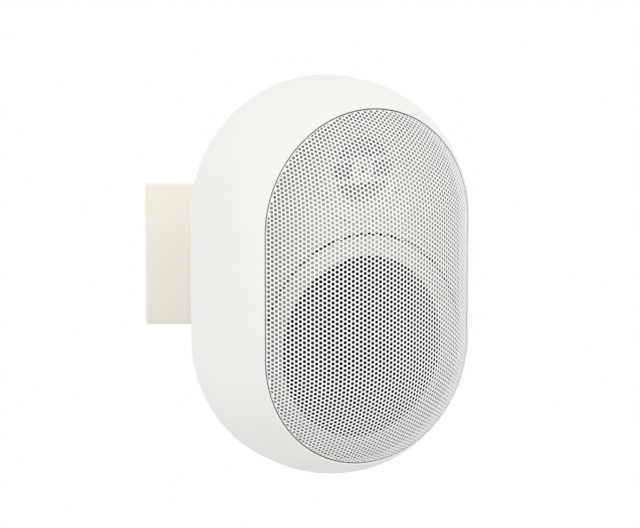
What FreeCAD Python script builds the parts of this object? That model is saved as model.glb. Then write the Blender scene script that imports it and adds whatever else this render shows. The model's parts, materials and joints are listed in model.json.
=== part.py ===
import FreeCAD, Part
import Sketcher
import math
import os
import re

# A wall loudspeaker: a rounded cabinet with a domed perforated grille, a woofer and a tweeter behind it,
# on a bracket that pans and tilts. Millimetres and degrees.
# The row frame stands on the wall: origin at the middle of the wall plate's back, +Y into the wall, +Z up.
# The speaker's own frame has depth along +Y from the front of the dome, and its middle at z = 0.

SIZES = (
    ("straight_length", 83.0, "straight part of the cabinet between its round ends"),
    ("dome_radius", 100.0, "outside radius of the grille's dome"),
    ("grille_radius", 76.8, "half width of the grille"),
    ("grille_sheet", 0.8, "thickness of the grille's sheet"),
    ("grille_gap", 1.2, "gap between grille and cabinet"),
    ("hole_pitch", 13.0, "spacing of the grille's holes"),
    ("hole_radius", 4.4, "radius of a hole, corner to middle"),
    ("hole_margin", 7.0, "plain edge of the grille, from rim to hole middle"),
    ("cabinet_radius", 93.2, "half width of the cabinet"),
    ("shoulder_radius", 89.0, "arc from the lip to the side"),
    ("shoulder_depth", 85.0, "depth where the side becomes straight"),
    ("side_depth", 96.7, "depth where the side turns in to the rear"),
    ("rear_radius", 60.0, "arc from the side to the flat rear"),
    ("shell_wall", 3.0, "wall of the cabinet"),
    ("lip_width", 1.3, "width of the cabinet's lip round the grille"),
    ("lip_round", 0.8, "radius of the lip's front"),
    ("front_depth", 44.0, "depth of the baffle's face and of the grille's seat"),
    ("baffle_radius", 75.5, "half width of the baffle"),
    ("baffle_clearance", 0.4, "room between baffle and cabinet"),
    ("baffle_floor", 4.0, "baffle left under the woofer's recess"),
    ("seal_thickness", 1.5, "seal between baffle and cabinet"),
    ("ledge_radius", 69.0, "half width of the opening inside the baffle's ledge"),
    ("ledge_thickness", 4.0, "thickness of that ledge"),
    ("baffle_screw_ring", 72.4, "offset of the baffle screws from the middle line"),
    ("low_screw_angle", 28.0, "angle of the lower screws round a cabinet end"),
    ("high_screw_angle", 65.0, "angle of the upper screws round a cabinet end"),
    ("side_screw_height", 15.0, "height of the two side screws"),
    ("baffle_screw_shank", 1.7, "shank radius of a baffle screw"),
    ("baffle_screw_head", 2.6, "head radius of a baffle screw"),
    ("baffle_head_height", 2.0, "head height of a baffle screw"),
    ("baffle_screw_length", 12.5, "length under the head of a baffle screw"),
    ("counterbore_room", 0.6, "room round a sunk head"),
    ("screw_room", 0.15, "room round a screw's shank"),
    ("head_top_share", 0.7, "flat top of a screw's head, as a share of its radius"),
    ("head_side_share", 0.4, "straight side of a screw's head, as a share of its height"),
    ("point_share", 0.4, "blunt point of a screw, as a share of its shank"),
    ("trim_inner", 61.5, "inner radius of the woofer's trim ring"),
    ("trim_outer", 75.0, "outer radius of the trim ring"),
    ("trim_thickness", 3.0, "thickness of the trim ring"),
    ("recess_radius", 77.0, "radius of the woofer's recess in the baffle"),
    ("flange_radius", 69.0, "radius of the basket's flange"),
    ("flange_thickness", 2.5, "thickness of that flange"),
    ("foam_thickness", 1.0, "seal under the flange"),
    ("basket_mouth", 60.0, "outer radius of the basket under its flange"),
    ("basket_wall", 1.5, "wall of the basket"),
    ("basket_room", 1.0, "room round the basket in the baffle"),
    ("spider_seat_outer", 46.0, "outer radius of the spider's seat"),
    ("spider_seat_inner", 38.0, "inner radius of the spider's seat"),
    ("spider_depth", 78.0, "depth of the spider's seat"),
    ("motor_depth", 89.5, "depth of the front of the woofer's magnet system"),
    ("basket_hole", 22.0, "radius of the hole in the basket's floor"),
    ("window_width", 34.0, "width of a window in the basket"),
    ("window_height", 15.0, "height of a window in the basket"),
    ("window_depth", 65.0, "depth of the middle of the windows"),
    ("surround_outer", 61.2, "outer radius of the woofer's surround"),
    ("roll_outer", 57.0, "outer radius of the surround's roll"),
    ("roll_inner", 48.0, "inner radius of the surround's roll"),
    ("surround_inner", 45.2, "inner radius of the surround"),
    ("rubber", 0.8, "thickness of the surround"),
    ("moving_gap", 0.2, "gap between moving and still pieces that are glued in life"),
    ("cone_edge", 48.5, "outer radius of the cone"),
    ("cone_rim", 45.0, "radius where the cone's rim meets its slope"),
    ("cone_wall", 0.8, "thickness of the cone"),
    ("cone_curve", 97.0, "radius of the cone's curved slope"),
    ("neck_radius", 16.6, "inner radius of the cone's neck"),
    ("neck_depth", 70.0, "depth of the cone's neck"),
    ("neck_length", 2.5, "length of the cone's neck"),
    ("cap_radius", 18.5, "radius of the dust cap"),
    ("cap_rise", 6.0, "rise of the dust cap"),
    ("cap_lift", 2.4, "dust cap's edge in front of the cone's neck"),
    ("cap_wall", 0.6, "thickness of the dust cap"),
    ("coil_radius", 16.5, "outer radius of the coil former"),
    ("former_wall", 0.3, "wall of the coil former"),
    ("winding", 0.7, "thickness of the winding"),
    ("winding_length", 10.0, "length of the winding"),
    ("air_gap", 0.5, "running gap each side of a voice coil"),
    ("spider_wave", 1.2, "height of the spider's waves"),
    ("spider_sheet", 0.6, "thickness of the spider"),
    ("top_plate_radius", 36.0, "radius of the woofer's top plate"),
    ("top_plate_thickness", 5.0, "thickness of the top plate"),
    ("magnet_radius", 42.0, "radius of the woofer's magnet"),
    ("magnet_hole", 22.0, "radius of the magnet's hole"),
    ("magnet_thickness", 15.0, "thickness of the magnet"),
    ("yoke_thickness", 5.5, "thickness of the yoke's plate"),
    ("pole_vent", 5.0, "radius of the vent in the pole"),
    ("woofer_screw_ring", 65.0, "radius of the ring of woofer screws"),
    ("woofer_screw_turn", 45.0, "angle of the first woofer screw from the right"),
    ("woofer_screw_shank", 1.9, "shank radius of a woofer screw"),
    ("woofer_screw_head", 3.4, "head radius of a woofer screw"),
    ("woofer_head_height", 1.8, "head height of a woofer screw"),
    ("woofer_screw_length", 12.0, "length under the head of a woofer screw"),
    ("tweeter_height", 78.0, "height of the tweeter above the cabinet's middle"),
    ("faceplate_radius", 35.5, "radius of the tweeter's faceplate"),
    ("faceplate_thickness", 3.5, "thickness of the faceplate"),
    ("faceplate_room", 0.3, "room round the faceplate in the baffle"),
    ("hub_radius", 26.0, "radius of the faceplate's hub"),
    ("hub_length", 7.0, "length of the hub from the face"),
    ("throat_radius", 20.5, "radius of the tweeter's throat"),
    ("motor_room", 1.5, "room round the tweeter's magnet in the baffle"),
    ("guard_radius", 25.0, "outer radius of the tweeter's guard"),
    ("guard_ring", 3.0, "width of the guard's ring"),
    ("guard_thickness", 1.2, "thickness of the guard"),
    ("guard_disc", 12.0, "radius of the guard's middle disc"),
    ("guard_hole", 1.5, "radius of the hole in that disc"),
    ("guard_spoke", 4.5, "width of a spoke"),
    ("guard_turn", 22.5, "angle of the first spoke from the right"),
    ("guard_room", 0.2, "room round the guard in its seat"),
    ("dome_edge", 13.0, "radius of the tweeter's dome"),
    ("dome_rise", 4.6, "rise of the tweeter's dome"),
    ("dome_skin", 0.4, "thickness of the dome"),
    ("dome_film", 0.6, "thickness of the tweeter's surround"),
    ("film_roll", 1.1, "radius of the roll in that surround"),
    ("film_roll_offset", 2.1, "middle of the roll from the dome's edge"),
    ("tweeter_former", 0.5, "thickness of the tweeter's coil"),
    ("tweeter_coil_length", 4.5, "length of the tweeter's coil"),
    ("tweeter_plate_radius", 27.5, "radius of the tweeter's plates and magnet"),
    ("tweeter_plate", 3.0, "thickness of the tweeter's plates"),
    ("tweeter_magnet_hole", 15.5, "radius of the hole in the tweeter's magnet"),
    ("tweeter_magnet_thickness", 8.0, "thickness of the tweeter's magnet"),
    ("tweeter_screw_ring", 31.8, "radius of the ring of tweeter screws"),
    ("tweeter_screw_turn", 90.0, "angle of the first tweeter screw from the right"),
    ("tweeter_screw_shank", 1.4, "shank radius of a tweeter screw"),
    ("tweeter_screw_head", 2.5, "head radius of a tweeter screw"),
    ("tweeter_head_height", 1.5, "head height of a tweeter screw"),
    ("tweeter_screw_length", 9.0, "length under the head of a tweeter screw"),
    ("board_width", 66.0, "width of the crossover board"),
    ("board_height", 44.0, "height of the crossover board"),
    ("board_thickness", 1.6, "thickness of the crossover board"),
    ("board_rise", 48.0, "height of the board's middle"),
    ("standoff_length", 6.0, "length of the board's standoffs"),
    ("standoff_radius", 3.5, "radius of a standoff"),
    ("board_screw_x", 28.0, "board screws, from the middle, sideways"),
    ("board_screw_z", 17.0, "board screws, from the middle, up and down"),
    ("board_screw_shank", 1.2, "shank radius of a board screw"),
    ("board_screw_head", 2.4, "head radius of a board screw"),
    ("board_head_height", 1.7, "head height of a board screw"),
    ("board_screw_length", 6.0, "length under the head of a board screw"),
    ("inductor_radius", 12.0, "outer radius of the inductor"),
    ("inductor_hole", 5.0, "radius of the inductor's hole"),
    ("inductor_length", 12.0, "length of the inductor"),
    ("inductor_place", 11.0, "middle of the inductor from the board's middle"),
    ("capacitor_radius", 6.0, "radius of a capacitor"),
    ("capacitor_length", 24.0, "length of a capacitor"),
    ("resistor_side", 7.0, "side of the resistor's square section"),
    ("resistor_round", 0.5, "corner radius of the resistor"),
    ("part_gap", 1.5, "space between pieces on the board"),
    ("panel_width", 40.0, "width of the terminal panel"),
    ("panel_height", 28.0, "height of the terminal panel"),
    ("panel_flange", 2.0, "thickness of the panel's flange"),
    ("panel_rise", 14.7, "face of the panel's block behind the cabinet"),
    ("panel_lip", 2.0, "overlap of the flange on the cabinet"),
    ("panel_corner", 4.0, "corner radius of the panel"),
    ("panel_drop", 57.0, "middle of the panel below the cabinet's middle"),
    ("panel_body", 5.0, "length of the panel's body inside the cabinet"),
    ("panel_room", 0.3, "room round the panel's body"),
    ("slot_width", 11.0, "width of a lever's slot"),
    ("slot_height", 19.0, "height of a lever's slot"),
    ("slot_depth", 12.7, "depth of a lever's slot"),
    ("slot_place", 9.5, "middle of a slot from the panel's middle"),
    ("wire_hole", 1.6, "radius of a wire hole"),
    ("wire_drop", 5.0, "wire hole below the panel's middle"),
    ("lever_room", 0.3, "room at each side of a lever"),
    ("lever_pin", 1.5, "radius of a lever's pin"),
    ("lever_pin_length", 1.5, "length of a lever's pin past the lever"),
    ("lever_fit", 0.08, "running fit of a lever's pin"),
    ("lever_sunk", 6.7, "lever's pin in front of the block's face"),
    ("lever_pin_drop", 3.4, "lever's pin below the slot's top"),
    ("lever_half", 2.2, "half height of a lever"),
    ("lever_reach", 10.5, "lever from its pin to its finger end"),
    ("lever_round", 1.4, "radius of the finger end's corners"),
    ("tag_width", 5.0, "width of a solder tag"),
    ("tag_thickness", 0.8, "thickness of a solder tag"),
    ("tag_length", 8.0, "length of a solder tag"),
    ("tag_round", 0.2, "corner radius of a solder tag"),
    ("mount_drop", 11.0, "tilt axis below the cabinet's middle"),
    ("mount_width", 58.0, "width of the rear mount's base"),
    ("mount_height", 50.0, "height of the rear mount's base"),
    ("mount_base", 4.0, "thickness of the rear mount's base"),
    ("mount_corner", 6.0, "corner radius of that base"),
    ("mount_screw_x", 21.0, "mount screws, from the middle, sideways"),
    ("mount_screw_z", 17.0, "mount screws, from the middle, up and down"),
    ("mount_screw_shank", 2.5, "shank radius of a mount screw"),
    ("mount_screw_head", 4.5, "head radius of a mount screw"),
    ("mount_head_height", 3.0, "head height of a mount screw"),
    ("mount_screw_length", 13.0, "length under the head of a mount screw"),
    ("boss_radius", 5.5, "radius of the cabinet's screw bosses"),
    ("boss_length", 9.0, "length of those bosses"),
    ("tilt_standoff", 22.0, "tilt axis behind the cabinet's rear"),
    ("ear_radius", 11.0, "round end of an ear"),
    ("ear_thickness", 6.0, "thickness of an ear"),
    ("pin_radius", 4.0, "radius of the pan and tilt bolts"),
    ("pin_fit", 0.05, "running fit of those bolts"),
    ("bolt_head_radius", 6.8, "head radius of those bolts"),
    ("bolt_head_height", 4.5, "head height of those bolts"),
    ("bolt_chamfer", 1.35, "chamfer of those heads"),
    ("nut_radius", 7.4, "nut, corner to middle"),
    ("nut_height", 6.5, "height of a nut"),
    ("bolt_end", 2.0, "bolt left past its nut"),
    ("washer_radius", 9.0, "radius of a washer"),
    ("washer_thickness", 1.0, "thickness of a washer"),
    ("tongue_width", 14.0, "width of the arm's tongue"),
    ("tongue_radius", 10.5, "round end of the tongue"),
    ("arm_reach", 28.0, "pan axis to tilt axis"),
    ("barrel_radius", 11.0, "radius of the arm's barrel"),
    ("barrel_length", 36.0, "length of the arm's barrel"),
    ("pan_standoff", 40.0, "pan axis in front of the wall"),
    ("lug_radius", 11.0, "round end of a lug"),
    ("lug_root", 15.0, "half width of a lug at the plate"),
    ("lug_thickness", 6.0, "thickness of a lug"),
    ("plate_width", 120.0, "width of the wall plate"),
    ("plate_height", 76.0, "height of the wall plate"),
    ("plate_thickness", 3.0, "thickness of the wall plate"),
    ("plate_corner", 5.0, "corner radius of the wall plate"),
    ("wall_hole_x", 90.0, "spacing of the wall holes, sideways"),
    ("wall_hole_z", 50.0, "spacing of the wall holes, up and down"),
    ("wall_hole", 2.75, "radius of a wall hole"),
    ("cover_width", 143.0, "width of the bracket's cover"),
    ("cover_height", 101.0, "height of the bracket's cover"),
    ("cover_depth", 10.0, "depth of the bracket's cover"),
    ("cover_wall", 2.0, "wall of the cover"),
    ("cover_corner", 1.2, "corner radius of the cover"),
    ("cover_round", 0.8, "round of the cover's front edge"),
    ("hollow_corner", 0.6, "corner radius of the cover's hollow"),
    ("window_room", 2.0, "room round the lugs in the cover"),
    ("window_corner", 3.0, "corner radius of that window"),
    ("post_radius", 3.0, "radius of the cover's posts on the plate"),
    ("post_inset", 6.0, "post's middle from the plate's edge"),
    ("pan_at_rest", 30.0, "how far the speaker is turned to the viewer's right"),
    ("tilt_at_rest", 0.0, "how far its front leans down"),
)

# Names for places that several pieces share, as formulas of the sizes above.
OPENING = "(grille_radius + grille_gap)"
REAR = "(side_depth + rear_radius)"
INNER_REAR = "(side_depth + rear_radius - shell_wall)"
RECESS = "(trim_thickness + flange_thickness + foam_thickness)"
FLOOR = f"(front_depth + {RECESS})"
BAFFLE_BACK = f"({FLOOR} + baffle_floor)"
LEDGE = f"({BAFFLE_BACK} + seal_thickness)"
FLANGE = "(front_depth + trim_thickness)"
END = "(straight_length / 2)"
HUB = "(front_depth + hub_length)"
DOME_SEAT = f"({HUB} + dome_film)"
BOARD = f"({INNER_REAR} - standoff_length)"
PANEL_FACE = f"({REAR} + panel_rise)"
MOUNT_FACE = f"({REAR} + mount_base)"
TILT = f"({REAR} + tilt_standoff)"
EAR_INNER = "(tongue_width / 2 + washer_thickness)"
EAR_OUTER = f"({EAR_INNER} + ear_thickness)"
LUG_INNER = "(barrel_length / 2 + washer_thickness)"
LUG_OUTER = f"({LUG_INNER} + lug_thickness)"
SLOT_TOP = "(-panel_drop + slot_height / 2)"
LEVER_PIN_HEIGHT = f"({SLOT_TOP} - lever_pin_drop)"

# Counts of like features.
SPIDER_WAVES = 6
BASKET_WINDOWS = 4
GUARD_SPOKES = 8
WOOFER_SCREWS = 4
TWEETER_SCREWS = 3

PLAIN_WORDS = {"sqrt", "cos", "sin", "deg"}
X, Y, Z = FreeCAD.Vector(1, 0, 0), FreeCAD.Vector(0, 1, 0), FreeCAD.Vector(0, 0, 1)

doc = FreeCAD.newDocument("loudspeaker")
sheet = doc.addObject("Spreadsheet::Sheet", "sizes")
for row, (alias, number, meaning) in enumerate(SIZES, start=1):
    sheet.set(f"A{row}", meaning)
    sheet.set(f"B{row}", str(number))
    sheet.setAlias(f"B{row}", alias)
doc.recompute()
pieces = []


def formula(text):
    """Put the sheet's name before each size in a formula."""
    def named(word):
        return word.group() if word.group() in PLAIN_WORDS else "sizes." + word.group()
    return re.sub(r"[a-z][a-z_]*", named, text)


def size(text):
    """Work out a formula of the sheet's sizes."""
    return float(sheet.evalExpression(formula(text)))


def at(x="0", y="0", z="0", turn=None):
    """A place given by three formulas, and a turn."""
    return FreeCAD.Placement(FreeCAD.Vector(size(x), size(y), size(z)), turn or FreeCAD.Rotation())


# Where the arm and the speaker stand in the row frame.
arm_place = at(y="-pan_standoff", turn=FreeCAD.Rotation(Z, size("pan_at_rest")))
tilt_place = arm_place * at(y="-arm_reach", turn=FreeCAD.Rotation(X, size("tilt_at_rest")))
speaker_place = tilt_place * at(y=f"-{TILT}", z="mount_drop")
woofer_place = speaker_place * at(z=f"-{END}")
tweeter_place = speaker_place * at(z="tweeter_height")
ALONG_X = FreeCAD.Rotation(Z, -90)
ALONG_Z = FreeCAD.Rotation(X, 90)


# Sketches


def new_body(label, place, keep=True):
    body = doc.addObject("PartDesign::Body", label)
    body.Label = label
    body.Placement = place
    if keep:
        pieces.append(body)
    return body


def plane_of(body, role):
    return next(plane for plane in body.Origin.OriginFeatures if plane.Role == role)


def sketch_on(body, role, lift="0"):
    """A sketch on one of the body's planes, lifted along the plane's normal."""
    sketch = body.newObject("Sketcher::SketchObject", body.Label + "_sketch")
    sketch.AttachmentSupport = [(plane_of(body, role), "")]
    sketch.MapMode = "FlatFace"
    sketch.setExpression("AttachmentOffset.Base.z", formula(lift))
    return sketch


def facing(body, depth):
    """A sketch of x and z at a depth, seen from the front."""
    return sketch_on(body, "XZ_Plane", f"-({depth})")


def bind(sketch, rule, text):
    """Add one rule to a sketch and tie its value to a formula."""
    index = sketch.addConstraint(rule)
    name = f"size_{index}"
    sketch.renameConstraint(index, name)
    sketch.setExpression(f"Constraints.{name}", formula(text))


def hold_point(sketch, edge, end, x, y):
    """Hold a point of a sketch at the formulas x and y."""
    for kind, axis, text in (("DistanceX", -2, x), ("DistanceY", -1, y)):
        number = size(text)
        if abs(number) < 1e-9:
            sketch.addConstraint(Sketcher.Constraint("PointOnObject", edge, end, axis))
        elif number > 0:
            bind(sketch, Sketcher.Constraint(kind, -1, 1, edge, end, number), text)
        else:
            bind(sketch, Sketcher.Constraint(kind, edge, end, -1, 1, -number), f"-({text})")


def arc_between(start, finish, radius, side):
    """The lesser arc from start to finish; side is 1 if its middle lies to the left, -1 to the right."""
    half = (finish - start) / 2
    reach = math.sqrt(max(radius ** 2 - half.Length ** 2, 0)) / half.Length
    middle = start + half + FreeCAD.Vector(-half.y, half.x, 0) * reach * side
    first, last = (start, finish) if side > 0 else (finish, start)
    angles = [math.atan2(point.y - middle.y, point.x - middle.x) for point in (first, last)]
    if angles[1] < angles[0]:
        angles[1] += 2 * math.pi
    return Part.ArcOfCircle(Part.Circle(middle, Z, radius), angles[0], angles[1])


def outline(sketch, corners):
    """A closed outline. A corner is (x, y), or (x, y, radius, side) where an arc leads on from it."""
    points = [FreeCAD.Vector(size(corner[0]), size(corner[1]), 0) for corner in corners]
    base = sketch.GeometryCount
    ends = []
    for index, corner in enumerate(corners):
        start, finish = points[index], points[(index + 1) % len(points)]
        if len(corner) == 2:
            sketch.addGeometry(Part.LineSegment(start, finish))
            ends.append((1, 2))
        else:
            sketch.addGeometry(arc_between(start, finish, size(corner[2]), corner[3]))
            ends.append((1, 2) if corner[3] > 0 else (2, 1))
    for index in range(len(corners)):
        after = (index + 1) % len(corners)
        joined = (base + index, ends[index][1], base + after, ends[after][0])
        sketch.addConstraint(Sketcher.Constraint("Coincident", *joined))
    for index, corner in enumerate(corners):
        hold_point(sketch, base + index, ends[index][0], corner[0], corner[1])
        if len(corner) == 4:
            bind(sketch, Sketcher.Constraint("Radius", base + index, size(corner[2])), corner[2])


def circle(sketch, x, y, radius):
    edge = sketch.addGeometry(Part.Circle(FreeCAD.Vector(size(x), size(y), 0), Z, size(radius)))
    hold_point(sketch, edge, 3, x, y)
    bind(sketch, Sketcher.Constraint("Radius", edge, size(radius)), radius)


def rounded(sketch, width, height, corner, x="0", y="0"):
    """A rectangle with round corners about a middle."""
    corner = f"({corner})"
    east, west = f"({x} + ({width}) / 2)", f"({x} - ({width}) / 2)"
    north, south = f"({y} + ({height}) / 2)", f"({y} - ({height}) / 2)"
    outline(sketch, (
        (f"{west} + {corner}", south), (f"{east} - {corner}", south, corner, 1),
        (east, f"{south} + {corner}"), (east, f"{north} - {corner}", corner, 1),
        (f"{east} - {corner}", north), (f"{west} + {corner}", north, corner, 1),
        (west, f"{north} - {corner}"), (west, f"{south} + {corner}", corner, 1),
    ))


def obround(sketch, radius):
    """The cabinet's outline at some half width."""
    outline(sketch, (
        (radius, f"-{END}"), (radius, END, radius, 1),
        ("0", f"{END} + {radius}", radius, 1), (f"-{radius}", END),
        (f"-{radius}", f"-{END}", radius, 1), ("0", f"-{END} - {radius}", radius, 1),
    ))


# Features


def feature(body, kind, sketch, length=None, reverse=False):
    """A pad or a pocket of one sketch. On a facing sketch a pad comes forward and a pocket goes back."""
    made = body.newObject("PartDesign::" + kind, f"{body.Label}_{kind.lower()}")
    made.Profile = sketch
    made.Reversed = reverse
    made.setExpression("Length", formula(length))
    sketch.Visibility = False
    return made


def slab(body, draw, front, thickness):
    """Pad what draw puts on a sketch between a depth and that depth plus a thickness."""
    sketch = facing(body, f"{front} + {thickness}")
    draw(sketch)
    return feature(body, "Pad", sketch, thickness)


def sink(body, draw, front, depth):
    """Cut what draw puts on a sketch from a depth back."""
    sketch = facing(body, front)
    draw(sketch)
    return feature(body, "Pocket", sketch, depth)


def turn(body, sketch, angle=360, reverse=False):
    made = body.newObject("PartDesign::Revolution", body.Label + "_turned")
    made.Profile = sketch
    made.ReferenceAxis = (sketch, ["V_Axis"])
    made.Angle = angle
    made.Reversed = reverse
    return made


def mirror(body, original, role):
    made = body.newObject("PartDesign::Mirrored", body.Label + "_mirrored")
    made.Originals = [original]
    made.MirrorPlane = (plane_of(body, role), [""])
    body.Tip = made
    return made


def repeat_round(body, original, count):
    """Repeat a feature about the body's Y axis."""
    made = body.newObject("PartDesign::PolarPattern", body.Label + "_pattern")
    made.Originals = [original]
    axis = next(line for line in body.Origin.OriginFeatures if line.Role == "Y_Axis")
    made.Axis = (axis, [""])
    made.Angle = 360
    made.Occurrences = count
    body.Tip = made
    return made


def turned(label, place, corners, keep=True):
    """A piece turned about its Y axis from half a section in radius and depth."""
    body = new_body(label, place, keep)
    sketch = sketch_on(body, "XY_Plane")
    outline(sketch, corners)
    turn(body, sketch)
    return body


def ring(label, place, inner, outer, front, thickness):
    """A flat ring, or a disc where inner is 0."""
    back = f"{front} + {thickness}"
    return turned(label, place, ((inner, front), (outer, front), (outer, back), (inner, back)))


def swept_round(label, place, corners, keep=True):
    """Sweep half a section round the obround: ends turned about their own axes, sides padded between them."""
    body = new_body(label, place, keep)
    section = sketch_on(body, "XY_Plane", END)
    outline(section, corners)
    top = turn(body, section, 180, reverse=True)
    section = sketch_on(body, "XY_Plane", f"-{END}")
    outline(section, corners)
    side = feature(body, "Pad", section, "straight_length")
    mirror(body, side, "YZ_Plane")
    mirror(body, top, "XY_Plane")
    return body


def group(label, one, places):
    """One node of several like solids."""
    doc.recompute()
    shape = one.Shape.copy()
    shape.Placement = FreeCAD.Placement()
    copies = []
    for place in places:
        copy = shape.copy()
        copy.Placement = place
        copies.append(copy)
    made = doc.addObject("Part::Feature", label)
    made.Label = label
    made.Shape = Part.makeCompound(copies)
    pieces.append(made)
    return made


def screw(label, head, head_height, shank, length):
    """A pan-headed screw along +Y, its seat at the origin."""
    return turned(label, FreeCAD.Placement(), (
        ("0", f"-{head_height}"), (f"{head} * head_top_share", f"-{head_height}"),
        (head, f"-{head_height} * head_side_share"),
        (head, "0"), (shank, "0"), (shank, f"{length} - {shank}"), (f"{shank} * point_share", length),
        ("0", length),
    ), keep=False)


def on_ring(radius, count, first):
    """Formulas for places on a ring, anticlockwise from a first angle."""
    angles = [f"(({first} + {360 * index / count}) * 1 deg)" for index in range(count)]
    return [(f"{radius} * cos({angle})", f"{radius} * sin({angle})") for angle in angles]


def four_corners(x, z, middle="0"):
    return [(f"{a} * {x}", f"{middle} + {b} * {z}") for a in (-1, 1) for b in (-1, 1)]


def holes(places, radius):
    """Draws a circle at each place."""
    def draw(sketch):
        for x, z in places:
            circle(sketch, x, z, radius)
    return draw


# The baffle's screws: four round each end, one at each side.
TOP_END_PLACES = [
    (f"{side} * baffle_screw_ring * cos({angle} * 1 deg)", f"{END} + baffle_screw_ring * sin({angle} * 1 deg)")
    for angle in ("low_screw_angle", "high_screw_angle") for side in (-1, 1)]
LOW_END_PLACES = [(x, f"-({z})") for x, z in TOP_END_PLACES]
SUNK_PLACES = TOP_END_PLACES + [(f"{side} * baffle_screw_ring", "side_screw_height") for side in (-1, 1)]
BAFFLE_SCREW_PLACES = SUNK_PLACES + LOW_END_PLACES
WOOFER_SCREW_PLACES = on_ring("woofer_screw_ring", WOOFER_SCREWS, "woofer_screw_turn")
TWEETER_SCREW_PLACES = on_ring("tweeter_screw_ring", TWEETER_SCREWS, "tweeter_screw_turn")
BOARD_SCREW_PLACES = four_corners("board_screw_x", "board_screw_z", "board_rise")
MOUNT_SCREW_PLACES = four_corners("mount_screw_x", "mount_screw_z", "-mount_drop")


def raised(places, rise):
    return [(x, f"{rise} + ({z})") for x, z in places]


def spots(places, depth, frame):
    """Places in the speaker, as placements at one depth."""
    return [frame * at(x, depth, z) for x, z in places]


# Cabinet and front


def cabinet_shell():
    lip_depth = (f"(shoulder_depth - sqrt(shoulder_radius^2"
                 f" - (shoulder_radius - cabinet_radius + {OPENING} + lip_width)^2))")
    ledge_back = f"({LEDGE} + ledge_thickness)"
    inner_side = (f"(cabinet_radius - shoulder_radius"
                  f" + sqrt((shoulder_radius - shell_wall)^2 - (shoulder_depth - {ledge_back})^2))")
    bore = "(baffle_radius + baffle_clearance)"
    body = swept_round("cabinet_shell", speaker_place, (
        ("0", REAR), ("cabinet_radius - rear_radius", REAR, "rear_radius", -1),
        ("cabinet_radius", "side_depth"), ("cabinet_radius", "shoulder_depth", "shoulder_radius", -1),
        (f"{OPENING} + lip_width", lip_depth, "lip_round", -1), (OPENING, lip_depth),
        (OPENING, "front_depth"), (bore, "front_depth"), (bore, LEDGE), ("ledge_radius", LEDGE),
        ("ledge_radius", ledge_back), (inner_side, ledge_back, "shoulder_radius - shell_wall", 1),
        ("cabinet_radius - shell_wall", "shoulder_depth"),
        ("cabinet_radius - shell_wall", "side_depth", "rear_radius - shell_wall", 1),
        ("cabinet_radius - rear_radius", INNER_REAR), ("0", INNER_REAR),
    ))
    half_wall = "shell_wall / 2"
    slab(body, holes(MOUNT_SCREW_PLACES, "boss_radius"), f"{INNER_REAR} - boss_length",
         f"boss_length + {half_wall}")
    slab(body, holes(BOARD_SCREW_PLACES, "standoff_radius"), BOARD, f"standoff_length + {half_wall}")
    sink(body, holes(MOUNT_SCREW_PLACES, "mount_screw_shank + screw_room"),
         f"{INNER_REAR} - boss_length", "boss_length + shell_wall")
    sink(body, holes(BOARD_SCREW_PLACES, "board_screw_shank + screw_room"), BOARD, "board_screw_length")
    sink(body, holes(BAFFLE_SCREW_PLACES, "baffle_screw_shank + screw_room"), LEDGE, "ledge_thickness")
    sink(body, panel_body_outline("panel_room"), INNER_REAR, "shell_wall")


def panel_body_outline(room):
    """Draws the terminal panel's body, with some room round it."""
    def draw(sketch):
        rounded(sketch, f"panel_width - 2 * panel_lip + 2 * {room}", f"panel_height - 2 * panel_lip + 2 * {room}",
                "panel_corner - panel_lip", y="-panel_drop")
    return draw


def front_baffle():
    body = new_body("front_baffle", speaker_place)
    woofer_middle = [("0", f"-{END}")]
    tweeter_middle = [("0", "tweeter_height")]
    thickness = f"{RECESS} + baffle_floor"
    slab(body, lambda sketch: obround(sketch, "baffle_radius"), "front_depth", thickness)
    sink(body, holes(woofer_middle, "recess_radius"), "front_depth", RECESS)
    sink(body, holes(woofer_middle, "basket_mouth + basket_room"), FLOOR, "baffle_floor")
    sink(body, holes(tweeter_middle, "faceplate_radius + faceplate_room"), "front_depth", "faceplate_thickness")
    sink(body, holes(tweeter_middle, "tweeter_plate_radius + motor_room"), "front_depth", thickness)
    sink(body, holes(SUNK_PLACES, "baffle_screw_head + counterbore_room"), "front_depth", RECESS)
    sink(body, holes(BAFFLE_SCREW_PLACES, "baffle_screw_shank + screw_room"), FLOOR, "baffle_floor")
    sink(body, holes(raised(WOOFER_SCREW_PLACES, f"-{END}"), "woofer_screw_shank + screw_room"),
         FLOOR, "baffle_floor")
    sink(body, holes(raised(TWEETER_SCREW_PLACES, "tweeter_height"), "tweeter_screw_shank + screw_room"),
         "front_depth", thickness)


def baffle_gasket():
    back = f"{BAFFLE_BACK} + seal_thickness"
    body = swept_round("baffle_gasket", speaker_place, (
        ("ledge_radius", BAFFLE_BACK), ("baffle_radius", BAFFLE_BACK),
        ("baffle_radius", back), ("ledge_radius", back),
    ))
    sink(body, holes(BAFFLE_SCREW_PLACES, "baffle_screw_shank + screw_room"), BAFFLE_BACK, "seal_thickness")


def baffle_screws():
    one = screw("baffle_screw", "baffle_screw_head", "baffle_head_height", "baffle_screw_shank",
                "baffle_screw_length")
    group("baffle_screws", one, spots(BAFFLE_SCREW_PLACES, FLOOR, speaker_place))


def on_dome(across, along, radius, half):
    """A point and outward direction on the dome, from distances across and along its flat sheet."""
    past = max(abs(along) - half, 0.0)
    distance = math.hypot(across, past)
    angle = distance / radius
    share_x, share_z = (across / distance, past / distance) if distance else (0.0, 0.0)
    upward = math.copysign(1.0, along)
    outward = FreeCAD.Vector(math.sin(angle) * share_x, -math.cos(angle), math.sin(angle) * share_z * upward)
    middle = FreeCAD.Vector(0, radius, upward * min(abs(along), half))
    return middle + outward * radius, outward, angle


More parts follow.
